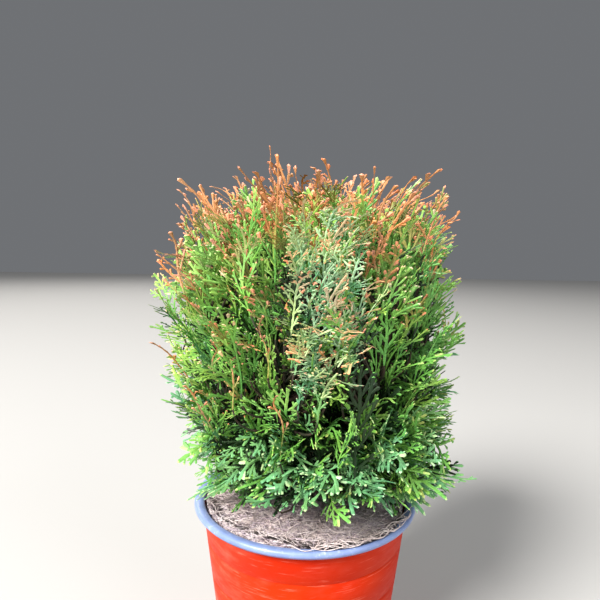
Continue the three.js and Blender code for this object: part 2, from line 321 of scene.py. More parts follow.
@dataclass(frozen=True)
class Coir:
    """Matted coconut fibre, from straw to grey-brown."""

    name: str
    pale: Colour
    dark: Colour
    grain: float = 420
    relief: float = 0.0012

    def material(self) -> bpy.types.Material:
        """Builds the material.

        Returns:
            The material.
        """
        shader = Shader(self.name)
        place = shader.coordinates()
        clumps = shader.noise(place, 60, 4, 0.6)
        grain = shader.noise(place, self.grain, 5, 0.75)
        share = shader.between(grain * 0.65 + clumps * 0.35, 0.36, 0.62)
        shader.wear("Base Color", shader.mix(share, self.dark, self.pale))
        shader.wear("Roughness", shader.between(grain, 0.3, 0.7, 0.75, 0.95))
        shader.bump(grain, self.relief)
        return shader.material


@dataclass(frozen=True)
class Bark:
    """Reddish-brown bark that peels in long thin strips."""

    name: str = "bark"
    red: Colour = srgb(128, 70, 46)
    grey: Colour = srgb(166, 130, 104)
    dark: Colour = srgb(58, 34, 24)

    def material(self) -> bpy.types.Material:
        """Builds the material.

        Returns:
            The material.
        """
        shader = Shader(self.name)
        strips = shader.noise(shader.coordinates((1, 1, 0.22)), 900, 5, 0.7)
        patches = shader.noise(shader.coordinates(), 160, 3)
        base = shader.mix(shader.between(patches, 0.4, 0.65), self.red, self.grey)
        cracks = shader.between(strips, 0.3, 0.5, 1, 0)
        shader.wear("Base Color", shader.mix(cracks, base, self.dark))
        shader.wear("Roughness", shader.between(strips, 0.3, 0.7, 0.7, 0.92))
        shader.bump(strips, 0.0009)
        return shader.material


@dataclass(frozen=True)
class TwigBark(Bark):
    """The bark of the thin twigs, brown-green and finer in its grain."""

    name: str = "twig_bark"
    red: Colour = srgb(56, 36, 24)
    grey: Colour = srgb(40, 48, 24)
    dark: Colour = srgb(26, 20, 12)


@dataclass(frozen=True)
class Leaf:
    """One colour of the small scale leaves, with a finely mottled and slightly waxy face."""

    name: str
    colour: Colour
    cool: Colour = (0.9, 1.0, 1.12, 1.0)
    warm: Colour = (1.14, 1.0, 0.78, 1.0)
    shift: float = 0.28
    sheen: float = 0.4

    def material(self) -> bpy.types.Material:
        """Builds the material.

        Returns:
            The material.
        """
        shader = Shader(self.name, specular_ior_level=self.sheen)
        place = shader.coordinates()
        mottle = shader.noise(place, 900, 2)
        patches = shader.noise(place, 70, 2)
        darker = tuple(channel * (1 - self.shift) for channel in self.colour[:3]) + (1.0,)
        lighter = tuple(min(1, channel * (1 + self.shift)) for channel in self.colour[:3]) + (1.0,)
        share = shader.between(mottle * 0.45 + patches * 0.55, 0.36, 0.64)
        shaded = shader.mix(share, darker, lighter)
        hue = shader.between(shader.noise(shader.coordinates((1, 1, 0.5)), 55, 2), 0.38, 0.62)
        cast = shader.mix(hue, self.cool, self.warm)
        shader.wear("Base Color", shader.mix(1.0, shaded, cast, "MULTIPLY"))
        shader.wear("Roughness", shader.between(mottle, 0.3, 0.7, 0.45, 0.7))
        shader.bump(mottle, 0.0002)
        return shader.material


# Mesh building


def mesh_object(name: str, mesh: bpy.types.Mesh) -> bpy.types.Object:
    """Puts a mesh into the scene as an object at the origin.

    Args:
        name: the object's name.
        mesh: its mesh.

    Returns:
        The object.
    """
    made = bpy.data.objects.new(name, mesh)
    bpy.context.scene.collection.objects.link(made)
    return made


def shade(mesh: bpy.types.Mesh, smooth: bool = True) -> bpy.types.Mesh:
    """Shades all of a mesh's faces smooth or flat, and hands it back."""
    mesh.polygons.foreach_set("use_smooth", [smooth] * len(mesh.polygons))
    return mesh


def mesh_from(name: str, points: np.ndarray, faces: list, smooth: bool = True) -> bpy.types.Mesh:
    """A mesh from points in millimetres.

    Args:
        name: the mesh's name.
        points: one row of three for each corner.
        faces: for each face the indices of its corners.
        smooth: whether its faces are shaded smooth.

    Returns:
        The mesh, in metres.
    """
    mesh = bpy.data.meshes.new(name)
    mesh.from_pydata((np.asarray(points) * MM).tolist(), [], faces)
    shade(mesh, smooth).update()
    return mesh


def finish_piece(
    piece: bpy.types.Object, finish: bpy.types.Material, slot: str, nodes: Sequence[str]
) -> None:
    """Gives a piece its material and body, and hides the solids that it stands for.

    Args:
        piece: the object.
        finish: its material.
        slot: the record's slot; not used.
        nodes: the solids whose place it takes.
    """
    piece.data.materials.clear()
    piece.data.materials.append(finish)
    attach(piece, BODY)
    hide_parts(*nodes)
    piece.data.calc_loop_triangles()
    LOG.info("%s: %d triangles", piece.name, len(piece.data.loop_triangles))


def lathe(name: str, profile: Sequence[tuple[float, float]], sides: int) -> bpy.types.Mesh:
    """Turns a closed profile of (radius, height) points about Z.

    Args:
        name: the mesh's name.
        profile: points in millimetres, in order round the section. Those on the axis become poles.
        sides: how many steps go round.

    Returns:
        A closed mesh with its faces pointing out.
    """
    work = bmesh.new()
    rows: list[list[bmesh.types.BMVert]] = []
    for radius, height in profile:
        if radius == 0:
            rows.append([work.verts.new((0, 0, height * MM))] * sides)
            continue
        angles = (2 * math.pi * i / sides for i in range(sides))
        ring = [(math.cos(a) * radius * MM, math.sin(a) * radius * MM, height * MM) for a in angles]
        rows.append([work.verts.new(corner) for corner in ring])
    for low, high in zip(rows, rows[1:] + rows[:1]):
        for i in range(sides):
            j = (i + 1) % sides
            corners = list(dict.fromkeys((low[i], low[j], high[j], high[i])))
            if len(corners) > 2:
                work.faces.new(corners)
    bmesh.ops.recalc_face_normals(work, faces=work.faces)
    mesh = bpy.data.meshes.new(name)
    work.to_mesh(mesh)
    work.free()
    return shade(mesh)


def spindle(start: int, rows: int, sides: int) -> list[list[tuple[int, ...]]]:
    """The faces round rings of corners that close to a point at each end.

    Args:
        start: the index of the first ring's first corner. After the rings come the foot and the tip.
        rows: how many rings there are.
        sides: how many corners a ring has.

    Returns:
        The faces in rows, from the foot to the tip.
    """
    around = [(side, (side + 1) % sides) for side in range(sides)]
    foot = start + rows * sides
    last = foot - sides
    bands = [
        [(low + i, low + j, low + sides + j, low + sides + i) for i, j in around]
        for low in range(start, last, sides)
    ]
    closed = [(foot + 1, last + i, last + j) for i, j in around]
    return [[(foot, start + j, start + i) for i, j in around], *bands, closed]


def bezier(start: Vector, middle: Vector, end: Vector, share: float) -> Vector:
    """A point on a quadratic Bezier curve."""
    left = 1 - share
    return start * (left * left) + middle * (2 * left * share) + end * (share * share)


@dataclass
class Tubes:
    """Round limbs collected into one mesh, in millimetres."""

    pointed: float = 0.5
    points: list[np.ndarray] = field(default_factory=list)
    faces: list[tuple[int, ...]] = field(default_factory=list)
    count: int = 0

    def add(
        self,
        path: Sequence[Vector],
        radii: Sequence[float],
        sides: int,
        relief: Callable[[float, float], float] | None = None,
    ) -> None:
        """Adds a limb with rounded-off ends.

        Args:
            path: points along its middle.
            radii: its radius at each point.
            sides: how many faces go round it.
            relief: how far the surface stands off, from the angle and the length so far.
        """
        tangents = [(b - a).normalized() for a, b in zip(path, path[1:])]
        tangents.append(tangents[-1])
        normal = tangents[0].orthogonal().normalized()
        rings = []
        travelled = 0.0
        for i, (point, tangent, radius) in enumerate(zip(path, tangents, radii)):
            normal = (normal - tangent * normal.dot(tangent)).normalized()
            across = tangent.cross(normal)
            travelled += (point - path[i - 1]).length if i else 0
            for side in range(sides):
                angle = 2 * math.pi * side / sides
                reach = radius + (relief(angle, travelled) if relief else 0)
                rings.append(point + (normal * math.cos(angle) + across * math.sin(angle)) * reach)
        for row in spindle(self.count, len(path), sides):
            self.faces += row
        ends = [path[0], path[-1] + tangents[-1] * radii[-1] * self.pointed]
        self.points.append(np.array([tuple(p) for p in rings + ends]))
        self.count += len(self.points[-1])

    def along(
        self,
        curve: Sequence[Vector],
        ends: tuple[float, float],
        steps: int,
        sides: int,
        relief: Callable[[float, float], float] | None = None,
    ) -> None:
        """Adds a limb that tapers along a Bezier curve.

        Args:
            curve: the curve's three points.
            ends: its radius at its foot and at its tip.
            steps: how many lengths it has.
            sides: how many faces go round it.
            relief: as for add.
        """
        shares = [i / steps for i in range(steps + 1)]
        path = [bezier(*curve, share) for share in shares]
        self.add(path, [lerp(*ends, share) for share in shares], sides, relief)

    def mesh(self, name: str) -> bpy.types.Mesh:
        """The limbs as one mesh in metres."""
        return mesh_from(name, np.concatenate(self.points), self.faces)


# The skeleton, by the solids' own rule


@dataclass(frozen=True)
class Crown:
    """The crown's outline, in millimetres."""

    centre: Vector = field(default_factory=lambda: Vector((3, 0, 165)))
    reach: float = 102
    rise: float = 177
    drop: float = 46
    squareness: tuple[float, float] = (5.0, 2.6)
    lean: float = 11
    waist: float = 0.15
    waist_height: tuple[float, float] = (188, 202)
    hem: tuple[float, float, float] = (166, 135, 140)
    hem_turn: float = 1.3
    bulge_heights: tuple[float, ...] = (190, 240, 265, 315, 350)
    bulge: tuple[float, ...] = (0, -1, -6, -8, -3)

    def lean_at(self, height: float) -> float:
        """How far the outline stands towards +X at a height over its centre."""
        return self.lean * (max(0.0, height) / self.rise) ** 2

    def waist_at(self, azimuth: float, height: float) -> float:
        """How much narrower the lower left side is than the outline, as a factor."""
        left = max(0.0, -math.cos(azimuth))
        return 1 - self.waist * left * float(np.interp(height, self.waist_height, (1, 0)))

    def hem_at(self, azimuth: float) -> float:
        """How low the tips hang: higher in front, where the coir shows, than at the sides and back.

        Args:
            azimuth: round the axis, in radians.

        Returns:
            The height in millimetres.
        """
        front, side, back = self.hem
        facing = -math.sin(azimuth)
        return lerp(side, front if facing > 0 else back, min(1.0, abs(facing) * self.hem_turn) ** 2)

    def bulge_at(self, height: float) -> float:
        """How far the whole crown stands towards +X at a height, beside its lean."""
        return float(np.interp(height, self.bulge_heights, self.bulge))

    def middle_at(self, height: float) -> float:
        """Where the crown's own middle is along X at a height."""
        return self.centre.x + self.lean_at(height - self.centre.z) + self.bulge_at(height)

    def reach_at(self, azimuth: float, height: float) -> float:
        """How far the outline is from its middle at a height.

        Args:
            azimuth: round the axis, in radians.
            height: over the pot's underside.

        Returns:
            The distance in millimetres.
        """
        upright = height - self.centre.z
        power, full = (self.squareness[0], self.rise) if upright > 0 else (self.squareness[1], self.drop)
        level = max(0.0, 1 - (abs(upright) / full) ** power) ** (1 / power)
        return self.reach * level * self.waist_at(azimuth, height)

    def point_at(self, azimuth: float, turn: float, share: float) -> Vector:
        """A point of the crown.

        Args:
            azimuth: round the axis, in radians.
            turn: up the outline, from -90 degrees underneath to 90 on top, in radians.
            share: 1 on the outline, less inside it.

        Returns:
            The point.
        """
        power = 2 / self.squareness[0 if turn > 0 else 1]
        level = abs(math.cos(turn)) ** power * self.reach * share
        upright = abs(math.sin(turn)) ** power * (self.rise if turn > 0 else -self.drop) * share
        level *= self.waist_at(azimuth, self.centre.z + upright)
        offset = Vector((math.cos(azimuth) * level, math.sin(azimuth) * level, upright))
        offset.x += self.lean_at(offset.z)
        point = self.centre + offset
        point.x += self.bulge_at(point.z) * share
        point.z = max(point.z, self.hem_at(azimuth))
        return point


@dataclass(frozen=True)
class Trunk:
    """The short trunk, in millimetres."""

    foot: float = 118.3
    top: float = 184
    lean: tuple[float, float] = (1.6, -1.2)
    base_radius: float = 5
    top_radius: float = 3.7
    flare: float = 3
    flare_fade: float = 7

    def point_at(self, share: float) -> Vector:
        """A point on its middle line, by the curve's own parameter."""
        middle = Vector((0, 0, (self.foot - CLEARANCE + self.top) / 2))
        return bezier(Vector((0, 0, self.foot)), middle, Vector((*self.lean, self.top)), share)

    def radius_at(self, share: float) -> float:
        """Its radius at a share of its length."""
        flare = self.flare * math.exp(-share * self.flare_fade)
        return lerp(self.base_radius, self.top_radius, share) + flare


@dataclass(frozen=True)
class Tier:
    """A ring of boughs, each with one mass.

    turn is the first bough's azimuth, leaves the height where the boughs leave the trunk, and foot and
    end are where a mass's stem starts and ends, as (distance from the axis, height). Millimetres and
    degrees.
    """

    name: str
    count: int
    turn: float
    leaves: float
    foot: tuple[float, float]
    end: tuple[float, float]
    slope: float
    radius: float


@dataclass
class Mass:
    """One bough and the stem that carries its mass of foliage."""

    label: str
    tier: Tier
    bough: tuple[Vector, Vector, Vector]
    stem: tuple[Vector, Vector, Vector]

    @property
    def node(self) -> str:
        """The solid that its foliage stands for."""
        return f"foliage_{self.label}"

    def axis_distance(self, point: Vector) -> float:
        """The distance from a point to the straight line between the ends of its stem.

        Args:
            point: any point, in millimetres.

        Returns:
            The distance in millimetres.
        """
        foot, end = self.stem[0], self.stem[2]
        along = end - foot
        share = max(0.0, min(1.0, (point - foot).dot(along) / along.length_squared))
        return (foot + along * share - point).length


@dataclass
class Skeleton:
    """The trunk, the boughs and the stems of the masses. Millimetres and degrees."""

    crown: Crown
    trunk: Trunk
    tiers: tuple[Tier, ...] = (
        Tier("skirt", 7, 8, 144, (28, 152), (68, 168), 8, 2.0),
        Tier("flank", 8, 30, 156, (36, 174), (76, 290), 35, 1.9),
        Tier("top", 4, 12, 174, (14, 204), (38, 316), 62, 1.7),
    )
    stagger: float = 2.5
    straying: float = 8
    bough_taper: float = 0.75
    bough_bend: float = 0.45
    stem_bend: float = 0.4
    stem_tip: float = 0.7
    masses: list[Mass] = field(default_factory=list)

    def __post_init__(self) -> None:
        """Plans every mass."""
        for number, tier in enumerate(self.tiers):
            self.masses += [self.plan(tier, 100 * (number + 1) + i, i) for i in range(tier.count)]

    @staticmethod
    def first_draw(seed: int) -> float:
        """The first number of the solids' own repeatable stream."""
        modulus = 2147483647
        return (seed * 7919 + 17) % modulus * 48271 % modulus / modulus

    def plan(self, tier: Tier, seed: int, i: int) -> Mass:
        """Plans one bough and its stem.

        Args:
            tier: the ring that it belongs to.
            seed: of its own stream.
            i: its place in the ring.

        Returns:
            The mass.
        """
        straying = self.straying * (self.first_draw(seed) - 0.5)
        azimuth = math.radians(tier.turn + 360 * i / tier.count + straying)
        outward = Vector((math.cos(azimuth), math.sin(azimuth), 0))
        height = tier.leaves + (self.stagger if i % 2 else -self.stagger)
        foot_level = self.trunk.foot - CLEARANCE
        share = (height - foot_level) / (self.trunk.top - foot_level)
        start = self.trunk.point_at(share) + outward * (self.trunk.radius_at(share) / 2)
        slope = math.radians(tier.slope)
        heading = outward * math.cos(slope) + UP * math.sin(slope)
        foot = outward * tier.foot[0] + UP * tier.foot[1]
        end = outward * tier.end[0] + UP * tier.end[1]
        foot.x += self.crown.centre.x
        end.x += self.crown.centre.x + self.crown.lean_at(end.z - self.crown.centre.z)
        tip = foot + heading * CLEARANCE
        bough = (start, foot - heading * (self.bough_bend * (foot - start).length), foot)
        stem = (foot, tip + heading * (self.stem_bend * (end - tip).length), end)
        return Mass(f"{tier.name}_{i + 1}", tier, bough, stem)

    def bearer_of(self, point: Vector) -> Mass:
        """The mass in whose own space a point lies: the one whose axis is nearest."""
        return min(self.masses, key=lambda mass: mass.axis_distance(point))


@dataclass
class Limbs:
    """The bark-covered trunk and boughs, with the stems that run on into the masses."""

    skeleton: Skeleton
    trunk_sides: int = 56
    trunk_steps: int = 72
    bough_sides: int = 16
    bough_steps: int = 26
    stem_sides: int = 8
    stem_steps: int = 18
    trunk_ridges: tuple[float, int, float] = (0.42, 9, 0.7)
    bough_ridges: tuple[float, int] = (0.16, 5)
    stem_ridges: tuple[float, int] = (0.1, 3)

    @staticmethod
    def ridges(strength: float, count: int, phase: float) -> Callable[[float, float], float]:
        """Bark that stands up along a limb.

        Args:
            strength: how far it stands off, in millimetres.
            count: how many strips go round.
            phase: where its waves start, so that limbs differ.

        Returns:
            The relief for Tubes.
        """

        def relief(angle: float, length: float) -> float:
            """How far the bark stands off at an angle and a length along the limb."""
            wander = 0.5 * math.sin(length * 0.21 + phase) + 0.3 * math.sin(length * 0.47 + 2 * phase)
            strip = math.sin(count * angle + wander * 2)
            knot = math.sin(3 * angle + length * 0.33 + phase) * math.sin(length * 0.9 + phase)
            return strength * (0.55 * strip + 0.45 * knot)

        return relief

    def build(self, finish: bpy.types.Material, young: bpy.types.Material) -> None:
        """Builds the trunk and boughs as one piece, and the stems as another.

        Args:
            finish: the bark of the trunk and boughs.
            young: the bark of the stems.
        """
        skeleton, trunk = self.skeleton, self.skeleton.trunk
        wood, stems = Tubes(), Tubes()
        shares = [i / self.trunk_steps for i in range(self.trunk_steps + 1)]
        path = [trunk.point_at(share) for share in shares]
        radii = [trunk.radius_at(share) for share in shares]
        wood.add(path, radii, self.trunk_sides, self.ridges(*self.trunk_ridges))
        for number, mass in enumerate(skeleton.masses):
            thick, thin = mass.tier.radius, mass.tier.radius * skeleton.bough_taper
            relief = self.ridges(*self.bough_ridges, number)
            wood.along(mass.bough, (thick, thin), self.bough_steps, self.bough_sides, relief)
            relief = self.ridges(*self.stem_ridges, number)
            stems.along(mass.stem, (thin, skeleton.stem_tip), self.stem_steps, self.stem_sides, relief)
        bark = mesh_object("trunk_and_boughs", wood.mesh("trunk_and_boughs"))
        boughs = [f"bough_{mass.label}" for mass in skeleton.masses]
        finish_piece(bark, finish, "bark", ["trunk", *boughs])
        inner = mesh_object("stems", stems.mesh("stems"))
        finish_piece(inner, young, "bark", [mass.node for mass in skeleton.masses])


# Geometry Nodes


class GeometryTree(Graph):
    """A Geometry Nodes tree with named inputs, run once and turned into a plain mesh."""

    def __init__(self, name: str, inputs: dict[str, str]) -> None:
        """Starts a tree.

        Args:
            name: the tree's name.
            inputs: each named input and the kind of its socket.
        """
        super().__init__(bpy.data.node_groups.new(name, "GeometryNodeTree"))
        face = self.tree.interface
        face.new_socket("Geometry", in_out="INPUT", socket_type="NodeSocketGeometry")
        self.identifiers = {
            key: face.new_socket(key, in_out="INPUT", socket_type=f"NodeSocket{kind}").identifier
            for key, kind in inputs.items()
        }
        face.new_socket("Geometry", in_out="OUTPUT", socket_type="NodeSocketGeometry")
        entry = self.tree.nodes.new("NodeGroupInput")
        self.given = {socket.name: Signal(self, socket) for socket in entry.outputs if socket.name}

    def attribute(self, name: str, kind: str) -> Signal:
        """A named attribute of the geometry."""
        settings, inputs = {"data_type": kind}, {"Name": name}
        return self.node("GeometryNodeInputNamedAttribute", settings, inputs, "Attribute")

    def random(self, low: float, high: float, seed: int) -> Signal:
        """A number for each element between two values."""
        inputs = {"Min": low, "Max": high, "Seed": seed}
        return self.node("FunctionNodeRandomValue", {"data_type": "FLOAT"}, inputs, "Value")

    def noise(self, shift: Signal, scale: float, detail: float, centre: tuple[float, ...]) -> Signal:
        """Soft noise at each point's place, shifted, as a vector either side of a centre.

        Args:
            shift: how far each point's place is shifted.
            scale: features to the metre.
            detail: how many finer ones are added.
            centre: what is taken off.

        Returns:
            The vector.
        """
        place = self.vector("ADD", self.node("GeometryNodeInputPosition"), shift)
        inputs = {"Vector": place, "Scale": scale, "Detail": detail}
        return self.vector("SUBTRACT", self.node("ShaderNodeTexNoise", inputs=inputs, output="Color"), centre)

    def set_out(self, points: Signal, instance: Signal, turn: Signal, size: Signal, **more: object) -> Signal:
        """Sets instances on points as real geometry.

        Args:
            points: where they go.
            instance: what is set there.
            turn: each one's turn, as angles.
            size: each one's scale.
            more: other inputs of Instance on Points, with _ for each space.

        Returns:
            The realized geometry.
        """
        inputs = {
            "Points": points,
            "Instance": instance,
            "Rotation": self.node("FunctionNodeEulerToRotation", inputs={"Euler": turn}),
            "Scale": self.node("ShaderNodeCombineXYZ", inputs={"X": size, "Y": size, "Z": size}),
            **{key.replace("_", " "): value for key, value in more.items()},
        }
        placed = self.node("GeometryNodeInstanceOnPoints", inputs=inputs)
        return self.node("GeometryNodeRealizeInstances", inputs={"Geometry": placed})

    def moved(self, geometry: Signal, offset: Signal) -> Signal:
        """A geometry with each point moved by its own offset."""
        return self.node("GeometryNodeSetPosition", inputs={"Geometry": geometry, "Offset": offset})

    def hand_out(self, geometry: Signal) -> None:
        """Makes a geometry the tree's result, in the material that is handed in.

        Args:
            geometry: what the tree has made.
        """
        inputs = {"Geometry": geometry, "Material": self.given["Material"]}
        made = self.node("GeometryNodeSetMaterial", inputs=inputs)
        leave = self.tree.nodes.new("NodeGroupOutput")
        self.tree.links.new(made.socket, leave.inputs[0])

    def run(self, carrier: bpy.types.Object, inputs: dict[str, object]) -> bpy.types.Mesh:
        """Runs the tree on an object.

        Args:
            carrier: the object whose mesh goes in. Its modifier is removed afterwards.
            inputs: a value for each named input.

        Returns:
            The result as a plain mesh.
        """
        modifier = carrier.modifiers.new(self.tree.name, "NODES")
        modifier.node_group = self.tree
        for key, value in inputs.items():
            modifier[self.identifiers[key]] = value
        graph = bpy.context.evaluated_depsgraph_get()
        graph.update()
        result = bpy.data.meshes.new_from_object(carrier.evaluated_get(graph), depsgraph=graph)
        carrier.modifiers.remove(modifier)
        return result


# The pot and what fills it


@dataclass
class Pot:
    """The thin-walled pot and its rolled rim.

    Sizes in millimetres, and sharp in degrees. rim_edge and rim_slope are shares of the rim's height,
    and rim_powers say how square its roll is across and upwards.
    """

    height: float = 130
    rim_height: float = 5
    rim_radius: float = 75
    rim_foot_radius: float = 73.8
    mouth_radius: float = 69.3
    foot_radius: float = 53.5
    wall: float = 1.2
    floor: float = 1.6
    ring_spacing: float = 24
    ring_step: float = 0.6
    ring_height: float = 1.5
    ring_shift: float = 4.5
    drains: int = 6
    drain_radius: float = 4.5
    drain_circle: float = 38
    drain_sides: int = 28
    soft: float = 0.35
    crease: float = 0.02
    bevel: float = 0.8
    foot_in: float = 0.1
    foot_lift: float = 0.5
    rim_edge: float = 0.35
    rim_slope: float = 0.18
    rim_steps: int = 14
    rim_powers: tuple[float, float] = (0.75, 0.8)
    sides: int = 180
    sharp: float = 40

    @property
    def wall_top(self) -> float:
        """Where the wall meets the rim."""
        return self.height - self.rim_height

    def radius_at(self, height: float) -> float:
        """The wall's outer radius at a height."""
        return lerp(self.foot_radius, self.mouth_radius, height / self.wall_top)

    def wall_profile(self) -> list[tuple[float, float]]:
        """The wall's section, with softly stepped rings outside and a plain cone inside.

        Returns:
            Points of (radius, height), from the underside's middle outwards.
        """
        soft, bevel = self.soft, self.bevel
        outside = [(self.foot_radius - bevel, 0), (self.foot_radius - self.foot_in, self.foot_lift)]
        level = self.wall_top % self.ring_spacing + self.ring_shift
        while level < self.wall_top:
            foot, radius = level - self.ring_height, self.radius_at(level)
            outside += [
                (self.radius_at(foot - soft) - self.crease, foot - soft),
                (radius - self.ring_step, foot + soft),
                (radius - self.ring_step, level - soft),
                (radius, level + soft),
            ]
            level += self.ring_spacing
        inner_foot = self.foot_radius - self.wall - self.ring_step
        inside = [
            (self.mouth_radius - self.wall, self.wall_top),
            (inner_foot, self.floor + bevel),
            (inner_foot - bevel, self.floor),
        ]
        return [(0, 0), *outside, (self.mouth_radius, self.wall_top), *inside, (0, self.floor)]

    def rim_profile(self) -> list[tuple[float, float]]:
        """The rim's section: a broad rounded roll that slopes down inside to a thin lip.

        Returns:
            Points of (radius, height).
        """
        inner = self.mouth_radius - self.wall
        foot = self.wall_top + CLEARANCE
        middle, half = (inner + self.rim_radius) / 2, (self.rim_radius - inner) / 2
        level_power, lift_power = self.rim_powers
        roll = []
        for i in range(self.rim_steps + 1):
            angle = math.pi * i / self.rim_steps
            level = math.copysign(abs(math.cos(angle)) ** level_power, math.cos(angle))
            lift = math.sin(angle) ** lift_power if 0 < i < self.rim_steps else 0.0
            drop = self.rim_slope * (1 - math.cos(angle)) / 2
            share = lerp(self.rim_edge, 1 - drop, lift)
            roll.append((middle + half * level, foot + (self.height - foot) * share))
        return [(inner, foot), (self.rim_foot_radius, foot), *roll]

    def drained(self, wall: bpy.types.Object, finish: bpy.types.Material) -> bpy.types.Mesh:
        """Cuts the drain holes through the floor with Geometry Nodes.

        Args:
            wall: the pot without its holes.
            finish: its material.

        Returns:
            The wall with its holes.
        """
        kinds = dict.fromkeys(("Circle Radius", "Hole Radius", "Depth"), "Float")
        tree = GeometryTree("drain_holes", kinds | {"Holes": "Int", "Material": "Material"})
        given = tree.given
        inputs = {"Vertices": given["Holes"], "Radius": given["Circle Radius"]}
        ring = tree.node("GeometryNodeMeshCircle", inputs=inputs)
        inputs = {"Vertices": self.drain_sides, "Radius": given["Hole Radius"], "Depth": given["Depth"]}
        drill = tree.node("GeometryNodeMeshCylinder", inputs=inputs)
        drills = tree.node("GeometryNodeInstanceOnPoints", inputs={"Points": ring, "Instance": drill})
        cutters = tree.node("GeometryNodeRealizeInstances", inputs={"Geometry": drills})
        settings = {"operation": "DIFFERENCE", "solver": "EXACT"}
        tree.hand_out(tree.node("GeometryNodeMeshBoolean", settings, {0: given["Geometry"], 1: cutters}))
        values = {
            "Circle Radius": self.drain_circle * MM,
            "Hole Radius": self.drain_radius * MM,
            "Depth": self.floor * 6 * MM,
            "Holes": self.drains,
            "Material": finish,
        }
        return tree.run(wall, values)

    def build(self, wall_finish: bpy.types.Material, rim_finish: bpy.types.Material) -> None:
        """Builds the wall and the rim.

        Args:
            wall_finish: the wall's material.
            rim_finish: the rim's.
        """
        blank = mesh_object("pot_blank", lathe("pot_blank", self.wall_profile(), self.sides))
        mesh = shade(self.drained(blank, wall_finish))
        bpy.data.objects.remove(blank)
        mesh.set_sharp_from_angle(angle=math.radians(self.sharp))
        finish_piece(mesh_object("pot_shell", mesh), wall_finish, "pot", ["pot_wall"])
        rim = mesh_object("rolled_rim", lathe("rolled_rim", self.rim_profile(), self.sides))
        finish_piece(rim, rim_finish, "rim", ["pot_rim"])


@dataclass(frozen=True)
class Loose:
    """The few long pale fibres that have come loose at the rim. Millimetres and radians."""

    count: int = 70
    radius: float = 0.2
    sides: int = 4
    nearest: float = 50
    heading: tuple[float, float] = (math.pi / 2, 0.9)
    curl: float = 0.16
    lift: tuple[float, float] = (0.5, 3.5)
    wave: float = 0.35
    step: float = 2.6
    steps: tuple[int, int] = (8, 16)
    climb_from: float = 66.5
    climb_over: float = 2.5
    turn_in: float = 0.4


